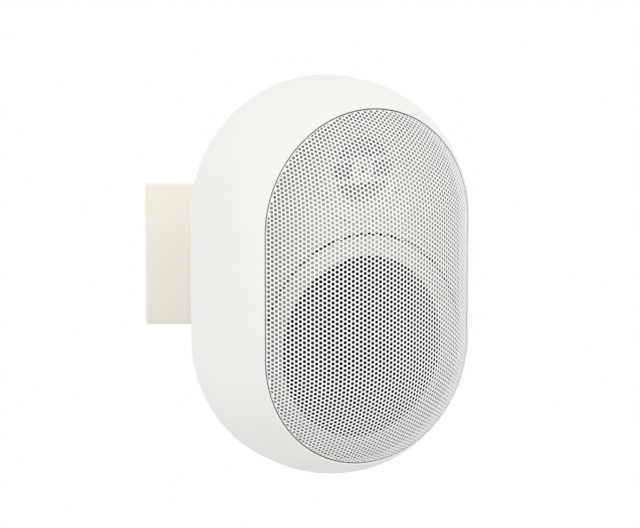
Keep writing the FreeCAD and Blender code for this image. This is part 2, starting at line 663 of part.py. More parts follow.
def hole_cutters():
    """One six-sided cutter for each hole, square to the dome, in staggered columns."""
    radius, half, pitch = size("dome_radius"), size(END), size("hole_pitch")
    limit = math.asin(size("grille_radius") / radius) - size("hole_margin") / radius
    depth = 4 * size("grille_sheet")
    column = pitch * math.sqrt(3) / 2
    count_x = int(limit * radius / column) + 1
    count_z = int((limit * radius + half) / pitch) + 1
    cutters = []
    for across in range(-count_x, count_x + 1):
        shift = pitch / 2 if across % 2 else 0.0
        for along in range(-count_z, count_z + 1):
            point, outward, angle = on_dome(across * column, along * pitch + shift, radius, half)
            if angle <= limit:
                start = point - outward * depth / 2
                cutters.append(six_sided(start, outward, size("hole_radius"), depth))
    return Part.makeCompound(cutters)


def six_sided(start, direction, radius, length):
    """A six-sided bar from a point along a direction."""
    frame = FreeCAD.Placement(start, FreeCAD.Rotation(Z, direction))
    corners = [FreeCAD.Vector(radius * math.cos(turn * math.pi / 3), radius * math.sin(turn * math.pi / 3), 0)
               for turn in range(7)]
    face = Part.Face(Part.makePolygon([frame.multVec(corner) for corner in corners]))
    return face.extrude(direction * length)


def grille():
    """A domed sheet with a skirt that stands on the cabinet's seat, and its pattern of holes."""
    inner = "(grille_radius - grille_sheet)"
    sheet_form = swept_round("grille_sheet_form", FreeCAD.Placement(), (
        ("0", "0", "dome_radius", 1),
        ("grille_radius", "dome_radius - sqrt(dome_radius^2 - grille_radius^2)"),
        ("grille_radius", "front_depth"), (inner, "front_depth"),
        (inner, f"dome_radius - sqrt((dome_radius - grille_sheet)^2 - {inner}^2)", "dome_radius - grille_sheet", -1),
        ("0", "grille_sheet"),
    ), keep=False)
    cutters = doc.addObject("Part::Feature", "grille_hole_cutters")
    cutters.Shape = hole_cutters()
    made = doc.addObject("Part::Cut", "grille")
    made.Label = "grille"
    made.Base = sheet_form
    made.Tool = cutters
    made.Placement = speaker_place
    pieces.append(made)


# Woofer


def woofer_trim_ring():
    body = ring("woofer_trim_ring", woofer_place, "trim_inner", "trim_outer", "front_depth", "trim_thickness")
    room = "woofer_head_height + moving_gap"
    sink(body, holes(WOOFER_SCREW_PLACES, "woofer_screw_head + counterbore_room"), f"{FLANGE} - ({room})", room)


def woofer_basket():
    """A pressed steel basket: flange, sloping wall with four windows, spider seat and floor."""
    flange_back = f"({FLANGE} + flange_thickness)"
    body = turned("woofer_basket", woofer_place, (
        ("basket_mouth - basket_wall", FLANGE), ("flange_radius", FLANGE), ("flange_radius", flange_back),
        ("basket_mouth", flange_back), ("spider_seat_outer + basket_wall", "spider_depth + basket_wall"),
        ("spider_seat_inner", "spider_depth + basket_wall"), ("spider_seat_inner", "motor_depth"),
        ("basket_hole", "motor_depth"), ("basket_hole", "motor_depth - basket_wall"),
        ("spider_seat_inner - basket_wall", "motor_depth - basket_wall"),
        ("spider_seat_inner - basket_wall", "spider_depth"), ("spider_seat_outer", "spider_depth"),
        ("basket_mouth - basket_wall", flange_back),
    ))
    sketch = sketch_on(body, "XY_Plane")
    rounded(sketch, "window_width", "window_height", "basket_wall", y="window_depth")
    window = feature(body, "Pocket", sketch, "flange_radius", reverse=True)
    repeat_round(body, window, BASKET_WINDOWS)
    sink(body, holes(WOOFER_SCREW_PLACES, "woofer_screw_shank + screw_room"), FLANGE, "flange_thickness")


def woofer_gasket():
    body = ring("woofer_gasket", woofer_place, "basket_mouth + basket_room", "flange_radius",
                f"{FLANGE} + flange_thickness", "foam_thickness")
    sink(body, holes(WOOFER_SCREW_PLACES, "woofer_screw_shank + screw_room"),
         f"{FLANGE} + flange_thickness", "foam_thickness")


def woofer_surround():
    """A rubber half roll between the basket's flange and the cone's rim."""
    back = f"({FLANGE})"
    front = f"({FLANGE} - rubber)"
    middle = "((roll_outer + roll_inner) / 2)"
    outer = "((roll_outer - roll_inner) / 2)"
    inner = f"({outer} - rubber)"
    turned("woofer_surround", woofer_place, (
        ("surround_outer", front), ("surround_outer", back), ("roll_outer - rubber", back, inner, -1),
        (middle, f"{back} - {inner}", inner, -1), ("roll_inner + rubber", back), ("surround_inner", back),
        ("surround_inner", front), ("roll_inner", front, outer, 1), (middle, f"{front} - {outer}", outer, 1),
        ("roll_outer", front),
    ))


def woofer_cone():
    front = f"({FLANGE} + moving_gap)"
    back = f"({front} + cone_wall)"
    turned("woofer_cone", woofer_place, (
        ("cone_edge", front), ("cone_edge", back), ("cone_rim", back, "cone_curve", -1),
        ("neck_radius + cone_wall", "neck_depth + cone_wall"),
        ("neck_radius + cone_wall", "neck_depth + cone_wall + neck_length"),
        ("neck_radius", "neck_depth + cone_wall + neck_length"),
        ("neck_radius", "neck_depth", "cone_curve", 1), ("cone_rim - cone_wall", front),
    ))


def woofer_dust_cap():
    edge = "(neck_depth - cap_lift)"
    sphere = "((cap_radius^2 + cap_rise^2) / (2 * cap_rise))"
    turned("woofer_dust_cap", woofer_place, (
        ("0", f"{edge} - cap_rise", sphere, 1), ("cap_radius", edge), ("cap_radius - cap_wall", edge,
         f"{sphere} - cap_wall", -1), ("0", f"{edge} - cap_rise + cap_wall"),
    ))


def woofer_voice_coil():
    inner = "(coil_radius - former_wall)"
    first = "(neck_depth + cone_wall)"
    wound = "(motor_depth + (top_plate_thickness - winding_length) / 2)"
    last = f"({wound} + winding_length)"
    turned("woofer_voice_coil", woofer_place, (
        (inner, first), ("coil_radius", first), ("coil_radius", wound), ("coil_radius + winding", wound),
        ("coil_radius + winding", last), (inner, last),
    ))


def woofer_spider():
    """A corrugated cloth disc from the voice coil to its seat, made of even waves."""
    first = "(coil_radius + moving_gap)"
    step = f"((spider_seat_inner - {first}) / {2 * SPIDER_WAVES})"
    top = "(spider_depth - spider_sheet)"
    crest = f"({top} - spider_wave)"
    upper = [(f"{first} + {index} * {step}", crest if index % 2 else top) for index in range(2 * SPIDER_WAVES + 1)]
    lower = [(x, f"{z} + spider_sheet") for x, z in reversed(upper)]
    rim = [("spider_seat_outer - moving_gap", top), ("spider_seat_outer - moving_gap", "spider_depth")]
    turned("woofer_spider", woofer_place, upper + rim + lower)


def woofer_motor():
    """Top plate, ring magnet and yoke with its vented pole, round the voice coil."""
    gap_outer = "(coil_radius + winding + air_gap)"
    pole = "(coil_radius - former_wall - air_gap)"
    magnet_front = "(motor_depth + top_plate_thickness)"
    yoke_front = f"({magnet_front} + magnet_thickness)"
    yoke_back = f"({yoke_front} + yoke_thickness)"
    ring("woofer_top_plate", woofer_place, gap_outer, "top_plate_radius", "motor_depth", "top_plate_thickness")
    ring("woofer_magnet", woofer_place, "magnet_hole", "magnet_radius", magnet_front, "magnet_thickness")
    turned("woofer_yoke", woofer_place, (
        ("pole_vent", "motor_depth"), (pole, "motor_depth"), (pole, yoke_front), ("top_plate_radius", yoke_front),
        ("top_plate_radius", yoke_back), ("pole_vent", yoke_back),
    ))


def woofer_screws():
    one = screw("woofer_screw", "woofer_screw_head", "woofer_head_height", "woofer_screw_shank",
                "woofer_screw_length")
    group("woofer_screws", one, spots(WOOFER_SCREW_PLACES, FLANGE, woofer_place))


# Tweeter


def tweeter_faceplate():
    seat = "(guard_radius + guard_room)"
    flange_back = "(front_depth + faceplate_thickness)"
    body = turned("tweeter_faceplate", tweeter_place, (
        (seat, "front_depth"), ("faceplate_radius", "front_depth"), ("faceplate_radius", flange_back),
        ("hub_radius", flange_back), ("hub_radius", HUB), ("throat_radius", HUB),
        ("guard_radius - guard_ring", "front_depth + guard_thickness"), (seat, "front_depth + guard_thickness"),
    ))
    sink(body, holes(TWEETER_SCREW_PLACES, "tweeter_screw_shank + screw_room"), "front_depth",
         "faceplate_thickness")


def tweeter_guard():
    """A ring, a middle disc with a small hole, and spokes in front of the dome."""
    body = ring("tweeter_guard", tweeter_place, "guard_radius - guard_ring", "guard_radius", "front_depth",
                "guard_thickness")
    along, across = "cos(guard_turn * 1 deg)", "sin(guard_turn * 1 deg)"
    near, far, half = "(guard_disc / 2)", "(guard_radius - guard_ring / 2)", "(guard_spoke / 2)"
    corners = [(f"{reach} * {along} - {side} * {half} * {across}", f"{reach} * {across} + {side} * {half} * {along}")
               for reach, side in ((near, -1), (far, -1), (far, 1), (near, 1))]
    spoke = slab(body, lambda sketch: outline(sketch, corners), "front_depth", "guard_thickness")
    repeat_round(body, spoke, GUARD_SPOKES)
    middle = [("0", "0")]
    slab(body, holes(middle, "guard_disc"), "front_depth", "guard_thickness")
    sink(body, holes(middle, "guard_hole"), "front_depth", "guard_thickness")


def tweeter_dome():
    """A soft dome on its coil former."""
    sphere = "((dome_edge^2 + dome_rise^2) / (2 * dome_rise))"
    turned("tweeter_dome", tweeter_place, (
        ("0", f"{DOME_SEAT} - dome_rise", sphere, 1), ("dome_edge", DOME_SEAT),
        ("dome_edge - dome_skin", DOME_SEAT, f"{sphere} - dome_skin", -1),
        ("0", f"{DOME_SEAT} - dome_rise + dome_skin"),
    ))
    ring("tweeter_voice_coil", tweeter_place, "dome_edge - tweeter_former", "dome_edge", DOME_SEAT,
         "tweeter_coil_length")


def tweeter_surround():
    """A film ring between the faceplate's hub and the top plate, with a low roll round the dome."""
    middle = "(dome_edge + film_roll_offset)"
    bow = "film_roll"
    inner = "(film_roll - dome_film)"
    turned("tweeter_surround", tweeter_place, (
        ("dome_edge + moving_gap", HUB), (f"{middle} - {bow}", HUB, bow, 1), (middle, f"{HUB} - {bow}", bow, 1),
        (f"{middle} + {bow}", HUB), ("hub_radius", HUB), ("hub_radius", DOME_SEAT),
        (f"{middle} + {inner}", DOME_SEAT, inner, -1), (middle, f"{DOME_SEAT} - {inner}", inner, -1),
        (f"{middle} - {inner}", DOME_SEAT), ("dome_edge + moving_gap", DOME_SEAT),
    ))


def tweeter_motor():
    gap_outer = "(dome_edge + air_gap)"
    pole = "(dome_edge - tweeter_former - air_gap)"
    magnet_front = f"({DOME_SEAT} + tweeter_plate)"
    yoke_front = f"({magnet_front} + tweeter_magnet_thickness)"
    yoke_back = f"({yoke_front} + tweeter_plate)"
    pole_front = f"({DOME_SEAT} + dome_film)"
    ring("tweeter_top_plate", tweeter_place, gap_outer, "tweeter_plate_radius", DOME_SEAT, "tweeter_plate")
    ring("tweeter_magnet", tweeter_place, "tweeter_magnet_hole", "tweeter_plate_radius", magnet_front,
         "tweeter_magnet_thickness")
    turned("tweeter_yoke", tweeter_place, (
        ("0", pole_front), (pole, pole_front), (pole, yoke_front), ("tweeter_plate_radius", yoke_front),
        ("tweeter_plate_radius", yoke_back), ("0", yoke_back),
    ))


def tweeter_screws():
    one = screw("tweeter_screw", "tweeter_screw_head", "tweeter_head_height", "tweeter_screw_shank",
                "tweeter_screw_length")
    group("tweeter_screws", one, spots(TWEETER_SCREW_PLACES, "front_depth", tweeter_place))


# Crossover and terminals


def crossover():
    face = f"({BOARD} - board_thickness)"
    board = new_body("crossover_board", speaker_place)
    slab(board, lambda sketch: rounded(sketch, "board_width", "board_height", "part_gap", y="board_rise"),
         face, "board_thickness")
    sink(board, holes(BOARD_SCREW_PLACES, "board_screw_shank + screw_room"), face, "board_thickness")
    one = screw("board_screw", "board_screw_head", "board_head_height", "board_screw_shank", "board_screw_length")
    group("crossover_screws", one, spots(BOARD_SCREW_PLACES, face, speaker_place))
    coil_place = speaker_place * at(x="-inductor_place", z="board_rise")
    ring("crossover_inductor", coil_place, "inductor_hole", "inductor_radius", f"{face} - inductor_length",
         "inductor_length")
    capacitor = turned("capacitor", FreeCAD.Placement(), (
        ("0", "0"), ("capacitor_radius", "0"), ("capacitor_radius", "capacitor_length"), ("0", "capacitor_length"),
    ), keep=False)
    start = "(inductor_radius - inductor_place + part_gap)"
    pitch = "(2 * capacitor_radius + part_gap)"
    rows = [f"board_rise - {pitch} / 2", f"board_rise + {pitch} / 2"]
    group("crossover_capacitors", capacitor, [
        speaker_place * at(start, f"{face} - capacitor_radius", row, ALONG_X) for row in rows])
    resistor = new_body("crossover_resistor", speaker_place)
    middle = "(board_rise - board_height / 2 + resistor_side / 2)"
    slab(resistor, lambda sketch: rounded(sketch, "capacitor_length", "resistor_side", "resistor_round", y=middle),
         f"{face} - resistor_side", "resistor_side")


def terminal_panel():
    """A block through the cabinet's rear, with a flange on it and two slots for levers in its face."""
    body = new_body("terminal_panel", speaker_place)
    inside = f"{REAR} - panel_body"
    slab(body, lambda sketch: rounded(sketch, "panel_width", "panel_height", "panel_corner", y="-panel_drop"),
         REAR, "panel_flange")
    slab(body, panel_body_outline("0"), inside, "panel_body + panel_rise")
    slots = facing(body, PANEL_FACE)
    for side in (-1, 1):
        rounded(slots, "slot_width", "slot_height", "lever_round", x=f"{side} * slot_place", y="-panel_drop")
    feature(body, "Pocket", slots, "slot_depth", reverse=True)
    wires = [(f"{side} * slot_place", "-panel_drop - wire_drop") for side in (-1, 1)]
    sink(body, holes(wires, "wire_hole"), inside, "panel_body + panel_rise - slot_depth")
    reach = "(slot_place + slot_width / 2 + lever_pin_length)"
    bore = sketch_on(body, "YZ_Plane", reach)
    circle(bore, f"{PANEL_FACE} - lever_sunk", LEVER_PIN_HEIGHT, "lever_pin + lever_fit")
    feature(body, "Pocket", bore, f"2 * {reach}")
    tag = new_body("solder_tag", FreeCAD.Placement(), keep=False)
    slab(tag, lambda sketch: rounded(sketch, "tag_thickness", "tag_width", "tag_round"), "-tag_length",
         "tag_length")
    group("terminal_tags", tag, [
        speaker_place * at(f"{side} * slot_place", inside, "-panel_drop + wire_drop") for side in (-1, 1)])


def terminal_lever(label, side):
    """A finger lever on its own moulded pins."""
    half_width = "(slot_width / 2 - lever_room)"
    place = speaker_place * at(f"{side} * slot_place", f"{PANEL_FACE} - lever_sunk", LEVER_PIN_HEIGHT)
    body = new_body(label, place)
    sketch = sketch_on(body, "YZ_Plane", f"-{half_width}")
    outline(sketch, (
        ("-lever_half", "-lever_half"), ("lever_reach - lever_round", "-lever_half", "lever_round", 1),
        ("lever_reach", "-lever_half + lever_round"), ("lever_reach", "lever_half - lever_round", "lever_round", 1),
        ("lever_reach - lever_round", "lever_half"), ("-lever_half", "lever_half"),
    ))
    feature(body, "Pad", sketch, f"2 * {half_width}")
    pin_reach = f"({half_width} + lever_pin_length)"
    pin = sketch_on(body, "YZ_Plane", f"-{pin_reach}")
    circle(pin, "0", "0", "lever_pin")
    feature(body, "Pad", pin, f"2 * {pin_reach}")


# Bracket


def rear_mount():
    """A base screwed to the cabinet, with two ears for the tilt bolt."""
    body = new_body("rear_mount", speaker_place)
    slab(body, lambda sketch: rounded(sketch, "mount_width", "mount_height", "mount_corner", y="-mount_drop"),
         REAR, "mount_base")
    ear = sketch_on(body, "YZ_Plane", EAR_INNER)
    low, high = "(-mount_drop - ear_radius)", "(-mount_drop + ear_radius)"
    outline(ear, (
        (f"{REAR} + mount_base / 2", low), (TILT, low, "ear_radius", 1),
        (f"{TILT} + ear_radius", "-mount_drop", "ear_radius", 1), (TILT, high),
        (f"{REAR} + mount_base / 2", high),
    ))
    mirror(body, feature(body, "Pad", ear, "ear_thickness"), "YZ_Plane")
    bore = sketch_on(body, "YZ_Plane", EAR_OUTER)
    circle(bore, TILT, "-mount_drop", "pin_radius + pin_fit")
    feature(body, "Pocket", bore, f"2 * {EAR_OUTER}")
    sink(body, holes(MOUNT_SCREW_PLACES, "mount_screw_shank + screw_room"), REAR, "mount_base")
    one = screw("mount_screw", "mount_screw_head", "mount_head_height", "mount_screw_shank", "mount_screw_length")
    about = FreeCAD.Placement(FreeCAD.Vector(), FreeCAD.Rotation(Z, 180))
    group("mount_screws", one, [place * about for place in spots(MOUNT_SCREW_PLACES, MOUNT_FACE, speaker_place)])


def bolt(label, place, grip):
    """A bolt along +Y, its head below the origin, long enough for its grip and a nut."""
    length = f"({grip} + nut_height + bolt_end)"
    turned(label, place, (
        ("0", "-bolt_head_height"), ("bolt_head_radius - bolt_chamfer", "-bolt_head_height"),
        ("bolt_head_radius", "-bolt_head_height + bolt_chamfer"), ("bolt_head_radius", "0"), ("pin_radius", "0"),
        ("pin_radius", length), ("0", length),
    ))


def nut(label, place):
    """A six-sided nut along +Y from the origin."""
    body = new_body(label, place)
    corners = [(f"nut_radius * cos({angle} deg)", f"nut_radius * sin({angle} deg)") for angle in range(0, 360, 60)]
    slab(body, lambda sketch: outline(sketch, corners), "0", "nut_height")
    sink(body, holes([("0", "0")], "pin_radius + pin_fit"), "0", "nut_height")


def washers(label, frame, turn, first, second):
    """Two like washers, each from a place along an axis towards its far end."""
    one = turned("washer", FreeCAD.Placement(), (
        ("pin_radius + pin_fit", "0"), ("washer_radius", "0"), ("washer_radius", "washer_thickness"),
        ("pin_radius + pin_fit", "washer_thickness"),
    ), keep=False)
    along = turn.multVec(Y)
    group(label, one, [
        frame * FreeCAD.Placement(along * size(place), turn) for place in (first, second)])


def tilt_fixings():
    frame = tilt_place
    bolt("tilt_bolt", frame * at(x=f"-{EAR_OUTER}", turn=ALONG_X), f"2 * {EAR_OUTER}")
    nut("tilt_nut", frame * at(x=EAR_OUTER, turn=ALONG_X))
    washers("tilt_washers", frame, ALONG_X, f"-{EAR_INNER}", "tongue_width / 2")


def pan_fixings():
    frame = at(y="-pan_standoff")
    over = FreeCAD.Rotation(X, -90)
    bolt("pan_bolt", frame * at(z=LUG_OUTER, turn=over), f"2 * {LUG_OUTER}")
    nut("pan_nut", frame * at(z=f"-{LUG_OUTER}", turn=over))
    washers("pan_washers", frame, ALONG_Z, f"-{LUG_INNER}", "barrel_length / 2")


def swivel_arm():
    """A barrel on the pan bolt and a tongue on the tilt bolt, in one casting."""
    body = new_body("swivel_arm", arm_place)
    barrel = sketch_on(body, "XY_Plane", "-barrel_length / 2")
    circle(barrel, "0", "0", "barrel_radius")
    feature(body, "Pad", barrel, "barrel_length")
    tongue = sketch_on(body, "YZ_Plane", "-tongue_width / 2")
    outline(tongue, (
        ("0", "tongue_radius"), ("-arm_reach", "tongue_radius", "tongue_radius", 1),
        ("-arm_reach - tongue_radius", "0", "tongue_radius", 1), ("-arm_reach", "-tongue_radius"),
        ("0", "-tongue_radius"),
    ))
    feature(body, "Pad", tongue, "tongue_width")
    pan_bore = sketch_on(body, "XY_Plane", "barrel_length / 2")
    circle(pan_bore, "0", "0", "pin_radius + pin_fit")
    feature(body, "Pocket", pan_bore, "barrel_length")
    tilt_bore = sketch_on(body, "YZ_Plane", "tongue_width / 2")
    circle(tilt_bore, "-arm_reach", "0", "pin_radius + pin_fit")
    feature(body, "Pocket", tilt_bore, "tongue_width")


def wall_plate():
    """A steel plate with four wall holes and two lugs for the pan bolt."""
    body = new_body("wall_plate", FreeCAD.Placement())
    slab(body, lambda sketch: rounded(sketch, "plate_width", "plate_height", "plate_corner"),
         "-plate_thickness", "plate_thickness")
    lug = sketch_on(body, "XY_Plane", LUG_INNER)
    root = "(-plate_thickness / 2)"
    outline(lug, (
        ("lug_root", root), ("-lug_root", root), ("-lug_radius", "-pan_standoff", "lug_radius", 1),
        ("0", "-pan_standoff - lug_radius", "lug_radius", 1), ("lug_radius", "-pan_standoff"),
    ))
    mirror(body, feature(body, "Pad", lug, "lug_thickness"), "XY_Plane")
    bore = sketch_on(body, "XY_Plane", LUG_OUTER)
    circle(bore, "0", "-pan_standoff", "pin_radius + pin_fit")
    feature(body, "Pocket", bore, f"2 * {LUG_OUTER}")
    sink(body, holes(four_corners("wall_hole_x / 2", "wall_hole_z / 2"), "wall_hole"),
         "-plate_thickness", "plate_thickness")


def bracket_cover():
    """A moulded cover over the wall plate, with a window for the lugs and posts that stand on the plate."""
    body = new_body("bracket_cover", FreeCAD.Placement())
    form = slab(body, lambda sketch: rounded(sketch, "cover_width", "cover_height", "cover_corner"),
                "-cover_depth", "cover_depth")
    doc.recompute()
    front = -size("cover_depth")
    edges = [f"Edge{index}" for index, edge in enumerate(form.Shape.Edges, start=1)
             if abs(edge.BoundBox.YMax - front) < 1e-6]
    rounding = body.newObject("PartDesign::Fillet", "bracket_cover_round")
    rounding.Base = (form, edges)
    rounding.setExpression("Radius", formula("cover_round"))
    hollow = facing(body, "0")
    rounded(hollow, "cover_width - 2 * cover_wall", "cover_height - 2 * cover_wall", "hollow_corner")
    feature(body, "Pocket", hollow, "cover_depth - cover_wall", reverse=True)
    posts = four_corners("(plate_width / 2 - post_inset)", "(plate_height / 2 - post_inset)")
    slab(body, holes(posts, "post_radius"), "-cover_depth + cover_wall / 2",
         "cover_depth - cover_wall / 2 - plate_thickness")
    sink(body, lambda sketch: rounded(sketch, "2 * (lug_root + window_room)", f"2 * ({LUG_OUTER} + window_room)",
                                      "window_corner"), "-cover_depth", "cover_depth")


cabinet_shell()
front_baffle()
baffle_gasket()
baffle_screws()
grille()
woofer_trim_ring()
woofer_basket()
woofer_gasket()
woofer_surround()
woofer_cone()
woofer_dust_cap()
woofer_voice_coil()
woofer_spider()
woofer_motor()
woofer_screws()
tweeter_faceplate()
tweeter_guard()
tweeter_dome()
tweeter_surround()
tweeter_motor()
tweeter_screws()
crossover()
terminal_panel()
terminal_lever("terminal_lever_left", 1)
terminal_lever("terminal_lever_right", -1)
rear_mount()
tilt_fixings()
swivel_arm()
pan_fixings()
wall_plate()
bracket_cover()
doc.recompute()

for made in doc.Objects:
    if "Invalid" in made.State or "Error" in made.State:
        raise RuntimeError(f"{made.Label} failed: {made.State}")
for piece in pieces:
    if piece.Shape.isNull() or not piece.Shape.isValid():
        raise RuntimeError(f"{piece.Label} has no valid shape")
os.makedirs("parts", exist_ok=True)
for piece in pieces:
    piece.Shape.exportStep(f"parts/{piece.Label}.step")
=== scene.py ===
import json
import math

import bpy
import numpy as np
from mathutils import Matrix, Vector
from mathutils.geometry import delaunay_2d_cdt

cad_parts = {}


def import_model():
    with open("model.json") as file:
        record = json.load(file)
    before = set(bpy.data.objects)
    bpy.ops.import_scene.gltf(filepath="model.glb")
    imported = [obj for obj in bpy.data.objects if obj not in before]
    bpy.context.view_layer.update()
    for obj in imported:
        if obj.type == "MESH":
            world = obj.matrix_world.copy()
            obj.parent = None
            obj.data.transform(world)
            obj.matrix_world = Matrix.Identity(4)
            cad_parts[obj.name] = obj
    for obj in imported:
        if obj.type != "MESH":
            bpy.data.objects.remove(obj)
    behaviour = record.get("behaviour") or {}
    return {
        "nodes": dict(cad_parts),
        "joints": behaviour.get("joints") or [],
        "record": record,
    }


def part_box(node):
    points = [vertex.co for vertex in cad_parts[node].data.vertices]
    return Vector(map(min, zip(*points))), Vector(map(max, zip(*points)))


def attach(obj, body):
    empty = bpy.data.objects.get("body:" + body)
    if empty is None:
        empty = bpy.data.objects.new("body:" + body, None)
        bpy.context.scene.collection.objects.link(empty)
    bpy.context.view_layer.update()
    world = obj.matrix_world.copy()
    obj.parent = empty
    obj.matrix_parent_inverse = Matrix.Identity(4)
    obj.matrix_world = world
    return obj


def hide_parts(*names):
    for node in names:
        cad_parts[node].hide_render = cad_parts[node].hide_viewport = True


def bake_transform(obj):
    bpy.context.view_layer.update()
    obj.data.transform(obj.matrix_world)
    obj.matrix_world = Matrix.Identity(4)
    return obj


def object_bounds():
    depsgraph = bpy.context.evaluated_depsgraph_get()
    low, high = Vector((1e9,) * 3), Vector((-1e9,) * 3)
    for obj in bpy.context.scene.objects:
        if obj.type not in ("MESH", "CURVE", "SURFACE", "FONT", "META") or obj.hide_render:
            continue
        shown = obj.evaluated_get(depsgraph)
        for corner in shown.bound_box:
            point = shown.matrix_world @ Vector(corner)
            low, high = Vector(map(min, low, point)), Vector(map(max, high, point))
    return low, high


# The looks of a wall loudspeaker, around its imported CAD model. Metres, in the row frame.

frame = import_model()
cad_low, cad_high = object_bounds()
nodes = frame["nodes"]
joints = {joint["name"]: joint for joint in frame["joints"]}

# The speaker's own frame: x across, y back from the front of the dome, z up from the middle. The tilt joint
# lies at this depth and height in it.
TILT_DEPTH = 0.1787
TILT_HEIGHT = -0.0110

# The grille: a dome on an obround, with a skirt that stands on the front.
DOME_RADIUS = 0.1000
GRILLE_HALF_WIDTH = 0.0773
GRILLE_SHEET = 0.0003
HALF_STRAIGHT = 0.0415
FRONT_DEPTH = 0.0440

# Its holes, in staggered columns. The rim's plain margin cuts the last ones short, and a hole whose middle
# lies further past it than the last of these is left out.
HOLE_RADIUS = 0.00113
HOLE_SIDES = 8
HOLE_PITCH = 0.003127
COLUMN_PITCH = 0.002672
HOLE_MARGIN = 0.00015
FURTHEST_PAST = 0.0003

# Its edge, folded back into the skirt.
FOLD_RADIUS = 0.0005
FOLD_STEPS = 4
EDGE_STEP = 0.0015

# Foam strips, seen as dark lines: inner and outer radius, front and back. One lies round the grille, the
# other in the groove round the woofer's trim ring.
GRILLE_SEAL = (0.07735, 0.07795, 0.0376, 0.0439)
WOOFER_SEAL = (0.0754, 0.0766, 0.0448, 0.0504)

# The woofer's rubber surround: radii from its edge to the cone, the depth of its back, and its thickness.
SURROUND_OUTER = 0.0612
ROLL_OUTER = 0.0570
ROLL_INNER = 0.0480
SURROUND_INNER = 0.0452
SURROUND_DEPTH = 0.0470
RUBBER = 0.0008
SURROUND_SECTORS = 16
SECTOR_STEPS = 6
ROLL_STEPS = 16

# The tweeter's guard: a ring with two level bars across it, joined in the middle by a disc with a small hole.
# The bars reach from their inner edge to the height of the disc.
TWEETER_HEIGHT = 0.0780
GUARD_RADIUS = 0.0250
GUARD_OPENING = 0.0220
GUARD_DISC = 0.0087
GUARD_HOLE = 0.0019
BAR_INNER = 0.0053
GUARD_THICKNESS = 0.0012
ARC_STEP = math.radians(6)

# Plugs in the recesses of the front's screws: where those are, and the form of a plug.
SCREW_RING = 0.0724
SCREW_ANGLES = (math.radians(28), math.radians(65))
SIDE_SCREW_HEIGHT = 0.0150
PLUG_RADIUS = 0.0032
PLUG_BEVEL = 0.0003
PLUG_LENGTH = 0.0025
PLUG_SIDES = 24

# Edges sharper than this are not smoothed over.
SHARP_ANGLE = math.radians(40)

# Flat patterns are cut into triangles in millimetres, where points this close are one.
MILLIMETRES = 1000
SAME_POINT = 1e-6

# Painted shade: behind the grille the front's colour darkens towards its rim. Where that starts and ends,
# and the share of the colour left.
RIM_SHADE_START = 0.030
RIM_SHADE_END = 0.078
RIM_SHADE_LEFT = 0.40

# Painted shade: the wall cover's colour darkens towards its foot. Where that starts, as a share of its
# height, and the share of the colour left.
FOOT_SHADE_START = 0.75
FOOT_SHADE_LEFT = 0.89

# The photograph's view.
CAMERA_ELEVATION = math.radians(10.706)
CAMERA_DISTANCE = 2.300
CAMERA_LEFT = 0.05025
CAMERA_RISE = 0.02144
FOCAL_PIXELS = 3516
IMAGE_WIDTH = 640
SENSOR_WIDTH = 36.0

# The studio's soft light, brighter from above. It changes between two heights on a sphere round the object.
LIGHT_ABOVE = 0.94
LIGHT_BELOW = 0.785
CHANGE_START = -0.6
CHANGE_END = 0.2

# Its two lamps, as place, size and power, and the point that they face.
KEY_LAMP = ((1.5, -1.9, 1.2), 1.4, 8.5)
FILL_LAMP = ((-1.9, -1.6, 0.3), 1.6, 6.0)
LAMP_TARGET = (0.05, -0.12, 0.0)

# The floor: half its side, how far it lies below the object, its tones for the camera and for the light that
# it throws back, and where it turns into the white ground, as shares of half its side.
FLOOR_HALF_SIDE = 1.4
FLOOR_DROP = 0.65
FLOOR_DARK = (0.96, 0.96, 0.96)
FLOOR_LIGHT = (0.98, 0.98, 0.98)
FLOOR_BOUNCE = (0.76, 0.76, 0.76, 1.0)
FLOOR_FADE_START = 0.3
FLOOR_FADE_END = 0.9
WHITE = (1.0, 1.0, 1.0, 1.0)


def speaker_matrix():
    """From the speaker's own frame to the row frame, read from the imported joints."""
    right = Vector(joints["tilt"]["axis"]).normalized()
    back = -Vector(joints["woofer_travel"]["axis"]).normalized()
    up = right.cross(back)
    turn = Matrix((right, back, up)).transposed()
    pivot = Vector(joints["tilt"]["pos_m"])
    return Matrix.Translation(pivot) @ turn.to_4x4() @ Matrix.Translation((0, -TILT_DEPTH, -TILT_HEIGHT))


SPEAKER = speaker_matrix()


# Materials


